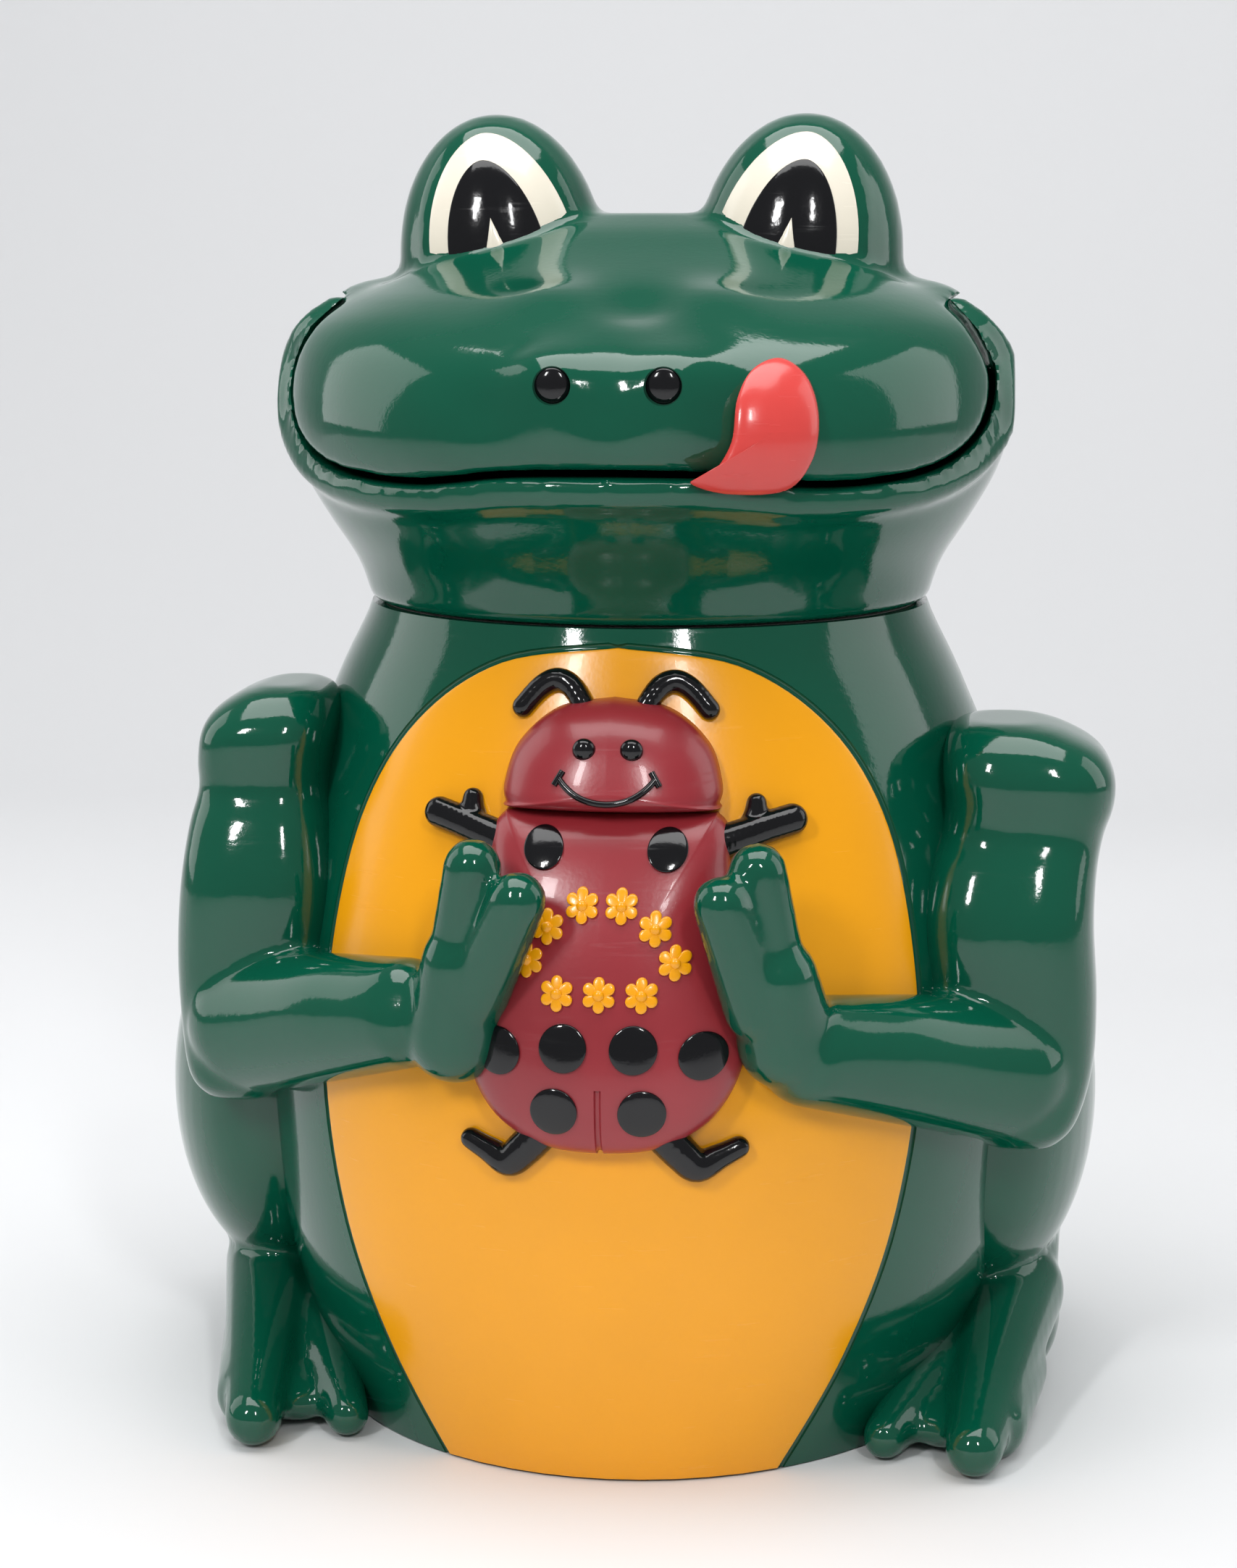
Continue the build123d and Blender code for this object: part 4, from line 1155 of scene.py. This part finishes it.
def makeFace(values):
    arc = []
    for i in range(-values["steps"], values["steps"] + 1):
        a = math.radians(values["reach"]) * i / values["steps"]
        arc.append((values["radius"] * math.sin(a), values["centre"] - values["radius"] * math.cos(a)))
    lines = [arc]
    for side, (x, z) in ((-1, arc[0]), (1, arc[-1])):
        tick, lean = values["tick"], side * values["tickLean"]
        lines.append([(x - lean * tick * k, z + tick * k) for k in (1, 0, -1)])
    beads = []
    for line in lines:
        route = [(x, surfaceAt(bugHeadTree, x, z) - values["sunk"], z) for x, z in line]
        beads.append(tube("smile", route, values["wide"]))
    mouth = join(beads, "bugSmile")
    shadeSmooth(mouth)
    across, height = values["eye"]
    balls = [ball((x, surfaceAt(bugHeadTree, x, height), height), values["eyeRadii"], segments=32, rings=20)
             for x in (-across, across)]
    eyes = join(balls, "bugEyes")
    shadeSmooth(eyes)
    return mouth, eyes


bugSmile, bugEyes = makeFace(smile)
hand(bugSmile, "jar", black, "black_plastic", "ladybug_smile")
hand(bugEyes, "jar", black, "black_plastic", "ladybug_eyes")

# the bug's black limbs are moulded on the belly: (across, height, radius) along each
twigs = {
    "antennae": [[(6.0, 170.0, 2.4), (9.5, 175.0, 2.6), (13.0, 176.4, 2.6), (16.6, 174.6, 2.5),
                  (20.4, 170.4, 2.4)]],
    "hands": [[(22, 142.2, 3.9), (27, 143.8, 3.8), (33, 145.6, 3.6), (38.6, 147, 3.5)],
              [(29.4, 144.6, 3.1), (30.8, 148, 2.7), (31.0, 150.6, 2.3)]],
    "feet": [[(12.5, 83, 4.2), (17.2, 78, 4.0), (20.4, 75.4, 3.6), (25, 77.2, 2.8), (29, 79, 2.4)]],
    "proud": 0.45,        # the middle stands out by this share of the radius
    "flat": 0.95,
    "voxel": 0.42,
}


def makeTwigs(name, lines):
    balls = []
    for side in (-1, 1):
        for line in lines:
            for x, z, r in curveThrough(line, 5):
                y = surfaceAt(bellyTree, side * x, z) - r * twigs["proud"]
                balls.append(ball((side * x, y, z), (r, r * twigs["flat"], r), segments=16, rings=10))
    return fuse(name, balls, twigs["voxel"], 2)


hand(makeTwigs("bugAntennae", twigs["antennae"]), "jar", black, "black_plastic", "ladybug_antennae")
hand(makeTwigs("bugHands", twigs["hands"]), "jar", black, "black_plastic", "ladybug_hands")
hand(makeTwigs("bugFeet", twigs["feet"]), "jar", black, "black_plastic", "ladybug_feet")
print("ladybug formed")

# finishes of the CAD pieces that stay: base, tub, lid plate and sound unit
def metal(name, colour, roughness, grain=(40, 40, 1400)):
    # plated sheet: fine drawn lines in the polish
    made, shader = newFinish(name)
    links = made.node_tree.links
    shader.inputs["Metallic"].default_value = 1.0
    stretch = addNode(made, "ShaderNodeMapping", placeOutput(made), "Vector", {"Scale": grain})
    lines = addNode(made, "ShaderNodeTexNoise", stretch.outputs["Vector"], "Vector",
                    {"Scale": 2.0, "Detail": 4.0})
    tintBetween(made, lines.outputs["Fac"], shader, [c * 0.8 for c in colour], colour, (0, 1))
    worn = addNode(made, "ShaderNodeMapRange", lines.outputs["Fac"], "Value",
                   {"To Min": roughness, "To Max": roughness + 0.2})
    links.new(worn.outputs["Result"], shader.inputs["Roughness"])
    return made


def laminate(name, base, copper):
    # brown board with worn copper tracks
    made, shader = newFinish(name)
    tracks = addNode(made, "ShaderNodeTexBrick", placeOutput(made), "Vector", {
        "Scale": 120.0, "Mortar Size": 0.06, "Color1": (*base, 1), "Color2": (*[c * 0.85 for c in base], 1),
        "Mortar": (*copper, 1)})
    made.node_tree.links.new(tracks.outputs["Color"], shader.inputs["Base Color"])
    shader.inputs["Roughness"].default_value = 0.45
    return made


def lensPlastic(name):
    made = plastic(name, (0.9, 0.92, 0.95), 0.04, shift=0.02, scratch=0.05)
    setInputs(made.node_tree.nodes["Principled BSDF"], {"Transmission Weight": 0.85, "IOR": 1.49})
    return made


baseBlack = plastic("basePlastic", (0.022, 0.022, 0.024), 0.45, shift=0.2, grain=0.0003, grainSize=1500,
                    sheenCoat=0.0)
tubWhite = plastic("tubPlastic", (0.72, 0.71, 0.67), 0.38, shift=0.04, grain=0.0002, sheenCoat=0.05)
lidWhite = plastic("lidPlatePlastic", (0.60, 0.59, 0.56), 0.42, shift=0.04, grain=0.0003, sheenCoat=0.05)
rubber = plastic("gasketRubber", (0.03, 0.03, 0.03), 0.7, shift=0.25, grain=0.0003, sheenCoat=0.0)
jacket = plastic("cellJacket", (0.10, 0.10, 0.13), 0.28, shift=0.15, sheenCoat=0.5)
steel = metal("zincSteel", (0.58, 0.58, 0.60), 0.28)
basket = metal("speakerBasket", (0.33, 0.33, 0.34), 0.38, (300, 300, 300))
nickel = metal("nickelSpring", (0.72, 0.69, 0.62), 0.22)
board = laminate("boardLaminate", (0.15, 0.075, 0.022), (0.42, 0.20, 0.07))
lens = lensPlastic("clearLens")

innerFinishes = {
    "base_plate": baseBlack, "base_screws": steel, "cookie_tub": tubWhite, "lid_base": lidWhite,
    "lid_gasket": rubber, "lid_screws": steel, "speaker": basket, "speaker_ring": steel,
    "speaker_screws": steel, "circuit_board": board, "board_screws": steel, "board_components": baseBlack,
    "light_sensor": baseBlack, "sensor_lens": lens, "battery_cells": jacket, "battery_contacts": nickel,
    "door_hinge_pin": steel, "switch_body": baseBlack, "battery_door": lidWhite, "power_switch": baseBlack,
}


def dress(values):
    for node, finish in values.items():
        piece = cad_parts[node]
        for place in piece.material_slots:
            place.material = finish
    print("CAD pieces given a finish:", len(values))


dress(innerFinishes)

bpy.data.objects.remove(jarFormPlain)
print("scene ready")
